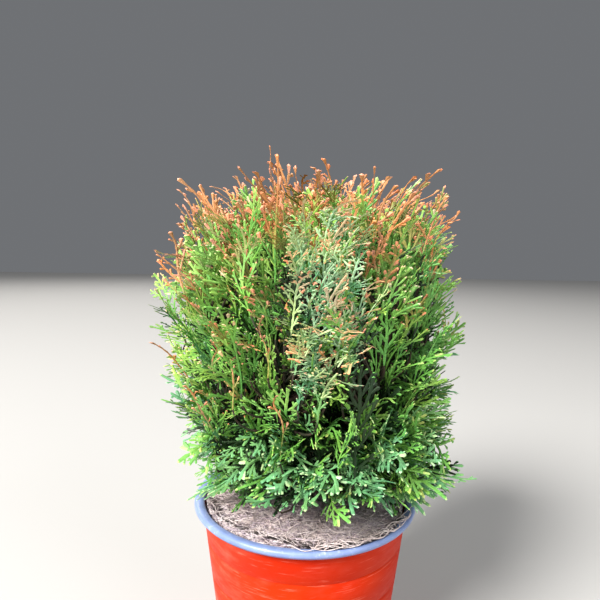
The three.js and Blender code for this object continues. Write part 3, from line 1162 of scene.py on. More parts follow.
@dataclass
class Filling:
    """The growing medium, and the matted coir disc over it with its loose fibres.

    Millimetres and degrees, apart from tilts in radians and fibre_density in fibres to a square metre.
    worn is how far the disc's edge sinks where it lies clear of the wall and where it meets it. spill is
    the range of azimuths where fibres lie out over the rim. Each of lumps is a height, its waves along
    the radius and its turns round the disc, and each of ragged a share, its turns and its phase.
    """

    pot: Pot
    medium_top: float = 118
    medium_rows: int = 12
    medium_sides: int = 96
    crumbs: float = 0.9
    crumb_depth: float = 0.5
    coir_foot: float = 118.3
    coir_top: float = 126.5
    coir_crown: float = 1.6
    coir_radius: float = 65
    coir_shift: float = 1.5
    coir_hole: float = 12
    met_at: float = -60
    met_over: float = 1.4
    wall_gap: float = 1.0
    edge_in: float = 0.5
    foot_in: float = 1.5
    ragged: tuple[tuple[float, int, float], ...] = ((0.004, 9, 0), (0.006, 31, 1))
    lumps: tuple[tuple[float, float, int], ...] = ((0.45, 0.33, 2), (0.35, 0.7, -5))
    grain: float = 0.25
    upturned: float = 0.4
    worn: tuple[float, float] = (1.6, 0.1)
    worn_from: float = 0.93
    worn_width: float = 0.07
    sides: int = 160
    rings: int = 40
    fibres: int = 2500
    fibre_density: float = 150000.0
    fibre_radius: float = 0.18
    fibre_points: int = 12
    fibre_lengths: tuple[float, float] = (20, 28)
    fibre_lifts: tuple[float, float] = (0.2, 0.5)
    fibre_sizes: tuple[float, float] = (0.35, 1.5)
    tilts: tuple[float, float] = (0.12, 0.16)
    waves_per_metre: float = 110.0
    sway: tuple[float, float, float] = (46, 46, 12)
    spill: tuple[float, float] = (-90, -35)
    spill_fade: float = 14
    climb_from: float = 0.8
    climb_over: float = 2
    thrown_back: float = 0.6
    loose: Loose = Loose()

    def medium_mesh(self) -> bpy.types.Mesh:
        """The medium: a plug that fills the pot, with a lumpy top.

        Returns:
            The plug.
        """
        pot, top = self.pot, self.medium_top
        narrow = pot.foot_radius - pot.wall - pot.ring_step - CLEARANCE
        wide = lerp(narrow, pot.mouth_radius - pot.wall - CLEARANCE, top / pot.wall_top)
        foot = pot.floor + CLEARANCE
        shares = [i / self.medium_rows for i in range(1, self.medium_rows + 1)]
        rows = [(0, foot), (narrow, foot)]
        rows += [(lerp(narrow, wide, share), lerp(foot, top, share)) for share in shares]
        rows += [(wide * (1 - share), top) for share in shares[:-1]]
        mesh = lathe("growing_plug", [*rows, (0, top)], self.medium_sides)
        rng = np.random.default_rng(5)
        for vertex in mesh.vertices:
            if vertex.co.z > (top - self.crumb_depth) * MM:
                vertex.co.z -= rng.uniform(0, self.crumbs) * MM
        return mesh

    def touch(self, angle: float) -> float:
        """How nearly the mat meets the wall: 1 in front and at the right, less at the back left."""
        return min(1.0, self.met_over * (0.5 + 0.5 * math.cos(angle - math.radians(self.met_at))))

    def surface(self, radius: float, angle: float) -> float:
        """The height of the coir's top at a place.

        Args:
            radius: from the disc's middle.
            angle: round it, in radians.

        Returns:
            The height in millimetres.
        """
        share = min(1.0, radius / self.coir_radius)
        worn = lerp(*self.worn, self.touch(angle)) * max(0.0, share - self.worn_from) / self.worn_width
        lumps = sum(high * math.sin(radius * waves + turns * angle) for high, waves, turns in self.lumps)
        fine = self.grain * math.sin(radius * 1.9 + 11 * angle) * math.sin(23 * angle + radius * 0.4)
        lift = self.coir_crown * (1 - share**2) + (lumps + fine) * (1 - share**4) + self.upturned * share
        return self.coir_top + lift - worn

    def disc_mesh(self) -> bpy.types.Mesh:
        """The coir disc, a ring round the stem with a matted top and a ragged edge.

        Returns:
            The disc.
        """
        points, faces = [], []
        for ring in range(self.rings + 1):
            for side in range(self.sides):
                angle = 2 * math.pi * side / self.sides
                share = ring / self.rings
                ragged = sum(part * math.sin(turns * angle + phase) for part, turns, phase in self.ragged)
                wall = self.pot.mouth_radius - self.pot.wall - self.wall_gap
                wall -= self.coir_shift * math.cos(angle)
                edge = lerp(self.coir_radius - self.edge_in, wall, self.touch(angle))
                radius = lerp(self.coir_hole, edge, share) * (1 + share * ragged)
                height = self.surface(radius, angle)
                points.append((radius * math.cos(angle), radius * math.sin(angle), height))
        last = self.rings * self.sides
        for source, radius in ((last, self.coir_radius - self.foot_in), (0, self.coir_hole)):
            for side in range(self.sides):
                x, y, _ = points[source + side]
                fit = radius / math.hypot(x, y)
                points.append((x * fit, y * fit, self.coir_foot))
        rows = [ring * self.sides for ring in range(self.rings + 3)]
        for low, high in zip(rows, rows[1:] + rows[:1]):
            for side in range(self.sides):
                beside = (side + 1) % self.sides
                faces.append((low + side, high + side, high + beside, low + beside))
        place = np.array(points) + np.array((self.coir_shift, 0, 0))
        return mesh_from("coir_mat", place, faces)

    def fibre_tree(self) -> GeometryTree:
        """Loose fibres: wavy arcs strewn over a surface, each a thin tube.

        Returns:
            The tree, which takes the surface as its geometry.
        """
        kinds = {
            "Fibres": "Int",
            "Fibre Length": "Float",
            "Fibre Radius": "Float",
            "Lift": "Float",
            "Seed": "Int",
            "Material": "Material",
        }
        tree = GeometryTree("coir_fibres", kinds)
        given = tree.given
        settings = {"distribute_method": "RANDOM"}
        inputs = {"Mesh": given["Geometry"], "Density": self.fibre_density, "Seed": given["Seed"]}
        spread = tree.node("GeometryNodeDistributePointsOnFaces", settings, inputs, "Points")
        settings = {"data_type": "INT", "operation": "GREATER_EQUAL"}
        inputs = {"A": tree.node("GeometryNodeInputIndex"), "B": given["Fibres"]}
        spare = tree.node("FunctionNodeCompare", settings, inputs)
        inputs = {"Geometry": spread, "Selection": spare}
        kept = tree.node("GeometryNodeDeleteGeometry", {"domain": "POINT"}, inputs)
        inputs = {"Start": (-0.5, 0, 0), "End": (0.5, 0, 0)}
        line = tree.node("GeometryNodeCurvePrimitiveLine", inputs=inputs)
        inputs = {"Curve": line, "Count": self.fibre_points}
        line = tree.node("GeometryNodeResampleCurve", inputs=inputs)
        ranges = [(-tilt, tilt) for tilt in self.tilts] + [(0, 2 * math.pi)]
        inputs = {axis: tree.random(*ends, seed) for seed, (axis, ends) in enumerate(zip("XYZ", ranges), 3)}
        turn = tree.node("ShaderNodeCombineXYZ", inputs=inputs)
        size = given["Fibre Length"] * tree.random(*self.fibre_sizes, 6)
        strewn = tree.set_out(kept, line, turn, size)
        fibre = tree.node("GeometryNodeCurveOfPoint", output="Curve Index")
        inputs = {"Min": (-1, -1, -1), "Max": (1, 1, 1), "ID": fibre, "Seed": 8}
        apart = tree.node("FunctionNodeRandomValue", {"data_type": "FLOAT_VECTOR"}, inputs, "Value")
        waves = tree.noise(apart, self.waves_per_metre, 1.0, (0.5, 0.5, 0.42))
        lift = tree.node("ShaderNodeCombineXYZ", inputs={"Z": given["Lift"]})
        sway = tuple(reach * MM for reach in self.sway)
        offset = tree.vector("ADD", tree.vector("MULTIPLY", waves, sway), lift)
        inputs = {"Resolution": 3, "Radius": given["Fibre Radius"]}
        profile = tree.node("GeometryNodeCurvePrimitiveCircle", inputs=inputs)
        inputs = {"Curve": tree.moved(strewn, offset), "Profile Curve": profile, "Fill Caps": True}
        tree.hand_out(tree.node("GeometryNodeCurveToMesh", inputs=inputs))
        return tree

    def build(
        self, medium: bpy.types.Material, mat: bpy.types.Material, fibres: list[bpy.types.Material]
    ) -> None:
        """Builds the medium, the mat and its fibres.

        Args:
            medium: the medium's material.
            mat: the coir disc's.
            fibres: those of its fibres, the darker first.
        """
        plug = mesh_object("growing_plug", self.medium_mesh())
        finish_piece(plug, medium, "medium", ["growing_medium"])
        disc = mesh_object("coir_mat", self.disc_mesh())
        tree = self.fibre_tree()
        for number, finish in enumerate(fibres):
            inputs = {
                "Fibres": self.fibres,
                "Fibre Length": self.fibre_lengths[number] * MM,
                "Fibre Radius": self.fibre_radius * MM,
                "Lift": self.fibre_lifts[number] * MM,
                "Seed": 11 + number,
                "Material": finish,
            }
            mesh = self.held_in(tree.run(disc, inputs))
            finish_piece(mesh_object(f"coir_fibres_{number + 1}", mesh), finish, "coir", ["coir_disc"])
        finish_piece(disc, mat, "coir", ["coir_disc"])
        strays = mesh_object("coir_strays", self.loose_mesh())
        finish_piece(strays, fibres[1], "coir", ["coir_disc"])

    def loose_mesh(self) -> bpy.types.Mesh:
        """The long loose fibres, which run about and lie up over the rim.

        Returns:
            The fibres.
        """
        loose, furthest = self.loose, self.pot.rim_radius - 1
        rng = np.random.default_rng(31)
        tubes = Tubes()
        for _ in range(loose.count):
            angle = math.radians(rng.uniform(*self.spill))
            radius = rng.uniform(loose.nearest, self.pot.rim_radius - 3)
            heading = angle + rng.normal(*loose.heading)
            curl = rng.normal(0, loose.curl)
            place = Vector((math.cos(angle) * radius, math.sin(angle) * radius, 0))
            lift = rng.uniform(*loose.lift)
            path = []
            for step in range(int(rng.integers(*loose.steps))):
                out = math.hypot(place.x, place.y)
                over = min(1.0, max(0.0, (out - loose.climb_from) / loose.climb_over))
                mat = self.surface(out, math.atan2(place.y, place.x))
                ground = lerp(mat, self.pot.height + CLEARANCE, over)
                wave = lift * math.sin(step * loose.wave) ** 2
                path.append(place + UP * (ground + wave + loose.radius))
                heading += curl + rng.normal(0, loose.curl)
                place = place + Vector((math.cos(heading), math.sin(heading), 0)) * loose.step
                if math.hypot(place.x, place.y) > furthest:
                    place *= furthest / math.hypot(place.x, place.y)
                    heading += loose.turn_in
            tubes.add(path, [loose.radius] * len(path), loose.sides)
        return tubes.mesh("coir_strays")

    def held_in(self, mesh: bpy.types.Mesh) -> bpy.types.Mesh:
        """Lifts fibres that reach the wall up over it, and throws back those that reach past their limit.

        The limit is inside the wall, and out at the rim's edge where fibres spill, with a soft change
        between the two.

        Args:
            mesh: fibres strewn over the disc.

        Returns:
            The same mesh.
        """
        points = np.zeros(len(mesh.vertices) * 3, np.float32)
        mesh.vertices.foreach_get("co", points)
        points = points.reshape(-1, 3) / MM
        radius = np.hypot(points[:, 0], points[:, 1])
        inner = self.pot.mouth_radius - self.pot.wall
        over = np.clip((radius - (inner - self.climb_from)) / self.climb_over, 0, 1)
        lying = self.pot.height + CLEARANCE
        points[:, 2] = np.maximum(points[:, 2], over * lying + (1 - over) * points[:, 2])
        azimuth = np.degrees(np.arctan2(points[:, 1], points[:, 0]))
        edges = [end + side * self.spill_fade for end in self.spill for side in (-1, 1)]
        spills = np.interp(azimuth, edges, [0, 1, 1, 0])
        limit = inner - self.wall_gap + spills * (self.pot.rim_radius - inner)
        far = radius > limit
        held = limit[far] - self.thrown_back * (radius[far] - limit[far])
        points[far, :2] *= (held / radius[far])[:, None]
        mesh.vertices.foreach_set("co", (points * MM).astype(np.float32).ravel())
        mesh.update()
        return mesh


# The fronds


class Zone(Enum):
    """Where on a frond a face lies."""

    BASE = 0
    MIDDLE = 1
    CREST = 2
    ENDS = 3


@dataclass(frozen=True)
class Habit:
    """How a kind of frond grows.

    Millimetres and degrees. Pairs are for the axis and its side shoots, apart from arch, which is the
    least and the most that a frond bends over. swing and roll turn it to its side and about itself, in
    radians.
    """

    name: str
    variants: int
    length: float
    spacing: tuple[float, float]
    angle: tuple[float, float]
    reach: tuple[float, float]
    longest: tuple[float, float]
    width: float
    knob: float
    bare: float
    step: float = 2.3
    ripple: float = 0.16
    curl: float = 32
    arch: tuple[float, float] = (8, 32)
    swing: float = 0.0
    roll: float = 0.85


@dataclass
class Frond:
    """One flat frond that branches by turns to its two sides, split by zone.

    Millimetres and degrees. Chance multiplies by a number from the ranges growth, leaving, turning_back
    and spreading. at_foot is how long shoots are at the foot of what bears them, as a share, and
    per_length how fast that rises. taper is how wide a shoot is at shares of its length. furthest is the
    greatest share of the frond's length that bends it. sections has a ring's corners for each order of
    shoot.
    """

    habit: Habit
    seed: int
    ends_length: float = 4.4
    shortest: float = 3.2
    slope: float = 13
    slope_lost: float = 0.5
    missing: float = 0.1
    wandering: float = 0.12
    middle_from: float = 0.34
    crest_from: float = 0.66
    axis_step: float = 1.25
    axis_width: float = 1.1
    tip_length: float = 0.9
    first_at: float = 0.9
    longer: float = 2.6
    at_foot: float = 0.6
    per_length: float = 1.4
    growth: tuple[float, float] = (0.6, 1.25)
    leaving: tuple[float, float] = (0.75, 1.3)
    turning_back: tuple[float, float] = (-0.35, 0.9)
    spreading: tuple[float, float] = (0.8, 1.2)
    taper: Rule = ((0, 0.2, 1), (0.8, 1, 0.92))
    thickness: float = 0.5
    knob_thickness: float = 0.35
    furthest: float = 1.2
    sections: tuple[tuple[tuple[float, float], ...], ...] = (
        ((1, 0), (0, 1), (-1, 0), (0, -1)),
        ((1, 0), (0, 1), (-1, 0), (0, -1)),
        ((1, -0.3), (0, 1), (-1, -0.3)),
    )

    def __post_init__(self) -> None:
        """Grows the frond along +Y with its face towards +Z."""
        habit = self.habit
        self.rng = np.random.default_rng(self.seed)
        self.wander = 0.0
        self.points: list[np.ndarray] = []
        self.faces: list[tuple[int, ...]] = []
        self.zones: list[int] = []
        self.count = 0
        side = 1 if self.rng.random() < 0.5 else -1
        curve = self.rng.uniform(-habit.curl, habit.curl)
        self.shoot(np.zeros(3), 0.0, habit.length, 0, curve, 0.0, side)

    def shoot(
        self,
        root: np.ndarray,
        angle: float,
        length: float,
        order: int,
        curve: float,
        lift: float,
        side: int,
    ) -> None:
        """Grows one shoot and those that it bears.

        Args:
            root: where it starts.
            angle: its heading from +Y, in degrees.
            length: in millimetres.
            order: 0 for the axis, 1 for its side shoots, 2 for theirs.
            curve: how far its heading turns over its length, in degrees.
            lift: its slope out of the frond's plane, in degrees.
            side: the side of its first shoot.
        """
        habit, rng = self.habit, self.rng
        if order == 1:
            self.wander = rng.normal(0, self.wandering)
        steps = max(2, round(length / (habit.step * (self.axis_step if order == 0 else 1))))
        places = np.linspace(0, 1, steps + 1)
        places[-2] = max(places[-2], 1 - self.tip_length / length)
        headings = np.radians(angle + curve * places)
        rise = np.radians(lift * (1 - self.slope_lost * places))
        turned, risen = headings[:-1], rise[:-1]
        ways = (np.sin(turned) * np.cos(risen), np.cos(turned) * np.cos(risen), np.sin(risen))
        moves = np.stack(ways, axis=1) * (np.diff(places) * length)[:, None]
        path = root + np.concatenate([np.zeros((1, 3)), np.cumsum(moves, axis=0)])
        self.skin(path, headings, places, length, order)
        if order == 2:
            return
        spacing = habit.spacing[order]
        along = habit.bare * length if order == 0 else habit.spacing[1] * self.first_at
        while along < length - self.shortest:
            share = along / length
            grown = min(habit.longest[order], habit.reach[order] * (length - along) + self.longer)
            grown *= rng.uniform(*self.growth) * min(1.0, self.at_foot + self.per_length * share)
            start = np.array([np.interp(share, places, path[:, axis]) for axis in range(3)])
            heading = math.degrees(np.interp(share, places, headings))
            leave = habit.angle[order] * rng.uniform(*self.leaving)
            turn_back = -side * leave * rng.uniform(*self.turning_back)
            if rng.random() > self.missing:
                sloped = lift + rng.uniform(-self.slope, self.slope)
                grown = max(self.shortest, grown)
                self.shoot(start, heading + side * leave, grown, order + 1, turn_back, sloped, side)
            side = -side
            along += spacing * rng.uniform(*self.spreading)

    def skin(
        self, path: np.ndarray, headings: np.ndarray, places: np.ndarray, length: float, order: int
    ) -> None:
        """Covers a shoot with a flattened spindle whose edges step in and out at each pair of leaves.

        Args:
            path: points along its middle.
            headings: its headings there, in radians.
            places: their shares of its length.
            length: in millimetres.
            order: as for shoot.
        """
        habit, section = self.habit, self.sections[order]
        rows = len(path) - 2
        number = np.arange(rows)
        width = habit.width * (self.axis_width if order == 0 else 1.0)
        ripple = 1 + habit.ripple * np.where(number % 2, 1, -1)
        half = width / 2 * ripple * np.where(number == rows - 1, 1 + habit.knob, 1.0)
        half *= np.interp(places[1:-1], *self.taper)
        blunt = self.thickness + self.knob_thickness * habit.knob
        thick = half * np.where(number == rows - 1, blunt, self.thickness)
        turned = headings[1:-1]
        wide = np.stack([np.cos(turned), -np.sin(turned), np.zeros(rows)], axis=1) * half[:, None]
        high = np.array([0.0, 0.0, 1.0]) * thick[:, None]
        corners = np.stack([path[1:-1] + wide * out + high * up for out, up in section], axis=1)
        for row, faces in enumerate(spindle(self.count, rows, len(section))):
            to_tip = (1 - places[row]) * length
            zone = self.zone_at(path[row][1] / habit.length, to_tip, row == rows, order)
            self.faces += faces
            self.zones += [zone.value] * len(faces)
        self.points.append(np.concatenate([corners.reshape(-1, 3), path[:1], path[-1:]]))
        self.count += len(self.points[-1])

    def zone_at(self, share: float, to_tip: float, last: bool, order: int) -> Zone:
        """The zone of a face, from its share of the frond's length and its distance to the shoot's tip.

        Args:
            share: how far along the frond it is, as a share.
            to_tip: its distance to the shoot's tip.
            last: whether it closes the shoot's tip.
            order: as for shoot.

        Returns:
            The zone.
        """
        if to_tip < self.ends_length and (last or share > self.middle_from) and order < 2:
            return Zone.ENDS
        ripe = share + (self.wander if order else 0.0)
        if ripe < self.middle_from:
            return Zone.BASE
        return Zone.MIDDLE if ripe < self.crest_from else Zone.CREST

    def objects(self, number: int, collections: dict[Zone, bpy.types.Collection]) -> None:
        """Adds one object for each zone to that zone's collection.

        Args:
            number: the frond's own.
            collections: one for each zone.
        """
        points = np.concatenate(self.points)
        zones = np.array(self.zones)
        for zone, collection in collections.items():
            chosen = [self.faces[i] for i in np.flatnonzero(zones == zone.value)]
            used = sorted({corner for face in chosen for corner in face})
            renumber = {old: new for new, old in enumerate(used)}
            faces = [tuple(renumber[corner] for corner in face) for face in chosen]
            mesh = mesh_from(f"frond_{number:02d}_{zone.name}", points[used], faces, smooth=False)
            along = mesh.attributes.new("along", "FLOAT", "POINT")
            shares = np.clip(points[used][:, 1] / self.habit.length, 0, self.furthest)
            along.data.foreach_set("value", shares.astype(np.float32))
            collection.objects.link(bpy.data.objects.new(mesh.name, mesh))


class Tint(Enum):
    """The colours that scale leaves come in, with the slot that each takes its finish from."""

    # Deep green: the crown's own inner green, darkened further to paint the shade in its gaps, in the inner
    # fronds and at the feet of fronds.
    DEEP = Leaf("leaf_deep", srgb(22, 46, 18))
    GREEN = Leaf("leaf_green", srgb(99, 156, 68))
    BRIGHT = Leaf("leaf_bright", srgb(130, 176, 84))
    BLUE = Leaf("leaf_blue", srgb(94, 146, 94))
    SILVER = Leaf("leaf_silver", srgb(162, 194, 144))
    OLIVE = Leaf("leaf_olive", srgb(144, 144, 80))
    BRONZE = Leaf("leaf_bronze", srgb(176, 122, 78))
    SALMON = Leaf("leaf_salmon", srgb(228, 152, 118))
    TAN = Leaf("leaf_tan", srgb(208, 184, 146))
    CREAM = Leaf("leaf_cream", srgb(154, 178, 104))
    DRIED = Leaf("leaf_dried", srgb(178, 130, 88))

    @property
    def parts(self) -> int:
        """How many pieces its leaves come in, so that each stays light enough."""
        return 2 if self in (Tint.DEEP, Tint.GREEN) else 1

    @property
    def slot(self) -> str:
        """The record's slot."""
        ripe = (Tint.OLIVE, Tint.BRONZE, Tint.SALMON, Tint.TAN, Tint.DRIED)
        return "foliage_tips" if self in ripe else "foliage"


class Palette(Enum):
    """The tints of a frond from its base, its middle and its crest to the ends of its shoots."""

    SHADE = (Tint.DEEP, Tint.DEEP, Tint.DEEP, Tint.GREEN)
    GREEN = (Tint.DEEP, Tint.GREEN, Tint.GREEN, Tint.CREAM)
    LEAFY = (Tint.GREEN, Tint.GREEN, Tint.BRIGHT, Tint.BRIGHT)
    BRIGHT = (Tint.GREEN, Tint.BRIGHT, Tint.BRIGHT, Tint.CREAM)
    BLUE = (Tint.DEEP, Tint.BLUE, Tint.BLUE, Tint.SILVER)
    # The blue palette with painted shade, deep green at its base and middle, for low fronds inside the crown.
    UNDER = (Tint.DEEP, Tint.DEEP, Tint.BLUE, Tint.BLUE)
    SILVER = (Tint.BLUE, Tint.BLUE, Tint.SILVER, Tint.SILVER)
    FROSTED = (Tint.BLUE, Tint.SILVER, Tint.SILVER, Tint.TAN)
    BLUSH = (Tint.SILVER, Tint.SILVER, Tint.TAN, Tint.SALMON)
    TURNING = (Tint.GREEN, Tint.GREEN, Tint.BRIGHT, Tint.TAN)
    BRONZE = (Tint.OLIVE, Tint.BRONZE, Tint.BRONZE, Tint.SALMON)
    RUSSET = (Tint.GREEN, Tint.OLIVE, Tint.BRONZE, Tint.SALMON)
    TIPPED = (Tint.GREEN, Tint.BRIGHT, Tint.OLIVE, Tint.SALMON)
    DRIED = (Tint.OLIVE, Tint.DRIED, Tint.BRONZE, Tint.SALMON)


HEM = 119
TOP = 348


def share_up(height: float) -> float:
    """A height as its share of the way from the hem of the foliage to its top."""
    return (height - HEM) / (TOP - HEM)


@dataclass(frozen=True)
class Dealer:
    """Deals fronds their tints by their place in the crown.

    Heights are shares of the way up. The side is 1 at the left and -1 at the right. A rule is a row of
    heights and a row of the chances there.
    """

    rng: np.random.Generator
    blush_from: float = 0.55
    blush: float = 0.4
    silver: float = 0.3
    ripe: Rule = ((0.45, 0.72, 0.92), (0.0, 0.62, 1.0))
    ripe_left: float = 0.09
    late_right_of: float = -0.1
    late_to: float = 0.74
    late: float = 0.3
    bronze: Rule = ((0.62, 0.9), (0.2, 1.0))
    bronze_left: float = 0.06
    column_at: float = math.radians(-79)
    column_edge: float = 0.9
    column_heights: tuple[float, float] = (0.38, 0.8)
    column_shade: float = 0.32
    blue: Rule = ((0.1, 0.6), (0.85, 0.14))
    low_to: float = 0.42
    blue_above: float = 0.5
    # Chances that a low blue-green frond takes the blue palette's darker copy, painted shade: under at the
    # left and front, under_right past under_right_of at the right.
    under_right_of: float = -0.2
    under: float = 0.4
    under_right: float = 0.2
    lit_from: float = 0.4
    bright_left_of: float = 0.3
    bright: float = 0.65
    greens: tuple[Palette, ...] = (Palette.GREEN, Palette.LEAFY, Palette.TURNING)
    sunny: tuple[float, float, float] = (0.3, 0.45, 0.25)
    lit: tuple[float, float, float] = (0.7, 0.3, 0.0)
    dim: tuple[float, float, float] = (1.0, 0.0, 0.0)

    def chance(self, share: float) -> bool:
        """Whether the next draw falls within a share."""
        return self.rng.random() < share

    def either(self, first: Palette, second: Palette, share: float = 0.5) -> Palette:
        """The first palette for a share of the draws, else the second."""
        return first if self.chance(share) else second

    @staticmethod
    def at(rule: Rule, height: float) -> float:
        """What a rule gives at a height."""
        return float(np.interp(height, *rule))

    def deal(self, azimuth: float, height: float, habit: str, dim: float) -> Palette:
        """Deals a frond its tints.

        Args:
            azimuth: round the axis, in radians.
            height: its tip's share of the way up.
            habit: the kind of frond that it is.
            dim: the share of its layer in the deep green of painted shade.

        Returns:
            The palette.
        """
        left = -math.cos(azimuth)
        if self.chance(dim):
            return Palette.SHADE
        if habit == "wisp":
            return Palette.DRIED
        if habit == "drape":
            if height > self.blush_from and self.chance(self.blush):
                return Palette.BLUSH
            return self.either(Palette.SILVER, Palette.FROSTED, self.silver)
        ripe = self.at(self.ripe, height + self.ripe_left * left)
        if left < self.late_right_of and height < self.late_to:
            ripe *= self.late
        if not self.chance(ripe):
            return self.green(azimuth, height, left)
        if habit == "thread" and self.chance(self.at(self.bronze, height + self.bronze_left * left)):
            return self.either(Palette.BRONZE, Palette.RUSSET)
        return self.either(Palette.TIPPED, Palette.TURNING)

    def green(self, azimuth: float, height: float, left: float) -> Palette:
        """The tints of a frond that isn't ripe: blue-green low down, shaded beside the silver column.

        Args:
            azimuth: round the axis, in radians.
            height: a share of the way up.
            left: 1 at the left and -1 at the right.

        Returns:
            The palette.
        """
        low, high = self.column_heights
        in_column = math.cos(azimuth - self.column_at) > self.column_edge
        if in_column and low < height < high and self.chance(self.column_shade):
            return Palette.SHADE
        near_foot = height < self.low_to
        if self.chance(self.at(self.blue, height) * (1 if near_foot else self.blue_above)):
            # A low blue-green frond may take the blue palette's darker copy, painted shade.
            under = self.under if left > self.under_right_of else self.under_right
            return Palette.UNDER if near_foot and self.chance(under) else Palette.BLUE
        # Painted light: fronds high up count as lit and take lighter greens, and those at the left, towards
        # the key lamp, often take the bright palette, along with the foliage's own yellow-green.
        lit = height > self.lit_from
        if lit and left > self.bright_left_of and self.chance(self.bright):
            return Palette.BRIGHT
        shares = self.sunny if lit and left > 0 else self.lit if lit else self.dim
        return self.greens[int(self.rng.choice(len(self.greens), p=shares))]


@dataclass(frozen=True)
class Aim:
    """The place where a frond's tip comes, and its azimuth in radians."""

    azimuth: float
    tip: Vector

    @property
    def outward(self) -> Vector:
        """The level way out from the pot's axis."""
        return Vector((math.cos(self.azimuth), math.sin(self.azimuth), 0))


@dataclass
class Placed:
    """A frond set in the crown."""

    variant: int
    root: Vector
    turn: Matrix
    size: float
    bend: Vector
    drift: Vector
    palette: Palette
    bearer: Mass


@dataclass(frozen=True)
class Layer:
    """A shell of fronds in the crown.

    share is how near the outline their tips come, and dim the share of them in the deep green of painted
    shade. facing, for a shell that doesn't go all the way round, is its middle and how far it reaches to each
    side.
    highest and lowest are how far up the outline it goes, from -90 underneath to 90 on top. Degrees.
    """

    name: str
    count: int
    share: tuple[float, float]
    highest: float
    lowest: float
    habits: tuple[str, ...]
    size: tuple[float, float]
    dim: float = 0.0
    facing: tuple[float, float] | None = None


HABITS = (
    Habit("plume", 7, 64, (4.5, 3.4), (29, 31), (0.5, 0.34), (23, 6.5), 1.5, 0.2, 0.1),
    Habit("fan", 5, 58, (4.4, 3.1), (43, 40), (0.55, 0.44), (28, 8.5), 1.85, 0.1, 0.12),
    Habit("thread", 6, 66, (7.2, 4.8), (32, 38), (0.4, 0.24), (22, 4.6), 1.4, 0.75, 0.2, 2.1, 0.24),
    Habit(
        "drape", 4, 60, (4.6, 3.6), (36, 40), (0.4, 0.36), (17, 5.5), 1.6, 0.3, 0.1, 2.2, 0.24, 42,
        arch=(22, 42), swing=0.3, roll=0.35,
    ),
    Habit("wisp", 3, 66, (7.0, 5.0), (30, 38), (0.2, 0.2), (10, 3.6), 1.15, 0.6, 0.2, 2.1, 0.26),
    Habit("inner", 2, 60, (5.6, 4.4), (44, 40), (0.5, 0.4), (26, 7), 2.3, 0.0, 0.1, 4.2, 0.0),
)

LAYERS = (
    Layer("outer", 560, (0.88, 0.97), 90, -40, ("plume",), (0.75, 1.1)),
    Layer("proud", 110, (0.95, 1.01), 70, 12, ("thread", "plume", "plume"), (0.7, 0.95)),
    Layer("crest", 110, (0.96, 1.04), 90, 46, ("thread",), (0.7, 1.05)),
    Layer("stray", 26, (1.0, 1.05), 70, 12, ("thread",), (0.7, 0.95), facing=(190, 145)),
    Layer("frost", 62, (0.99, 1.05), 46, 5.0, ("drape",), (0.5, 0.85), facing=(-86, 13)),
    Layer("wisps", 10, (1.0, 1.04), 30, 2, ("wisp",), (0.6, 0.9), facing=(-116, 36)),
    Layer("skirt", 34, (0.8, 0.96), 2, -28, ("fan",), (0.7, 0.95), facing=(-72, 60)),
    Layer("under", 170, (0.72, 0.84), 84, -20, ("plume",), (0.8, 1.0), dim=0.65),
    Layer("inner", 190, (0.5, 0.7), 84, -10, ("inner",), (0.8, 1.05), dim=1.0),
)


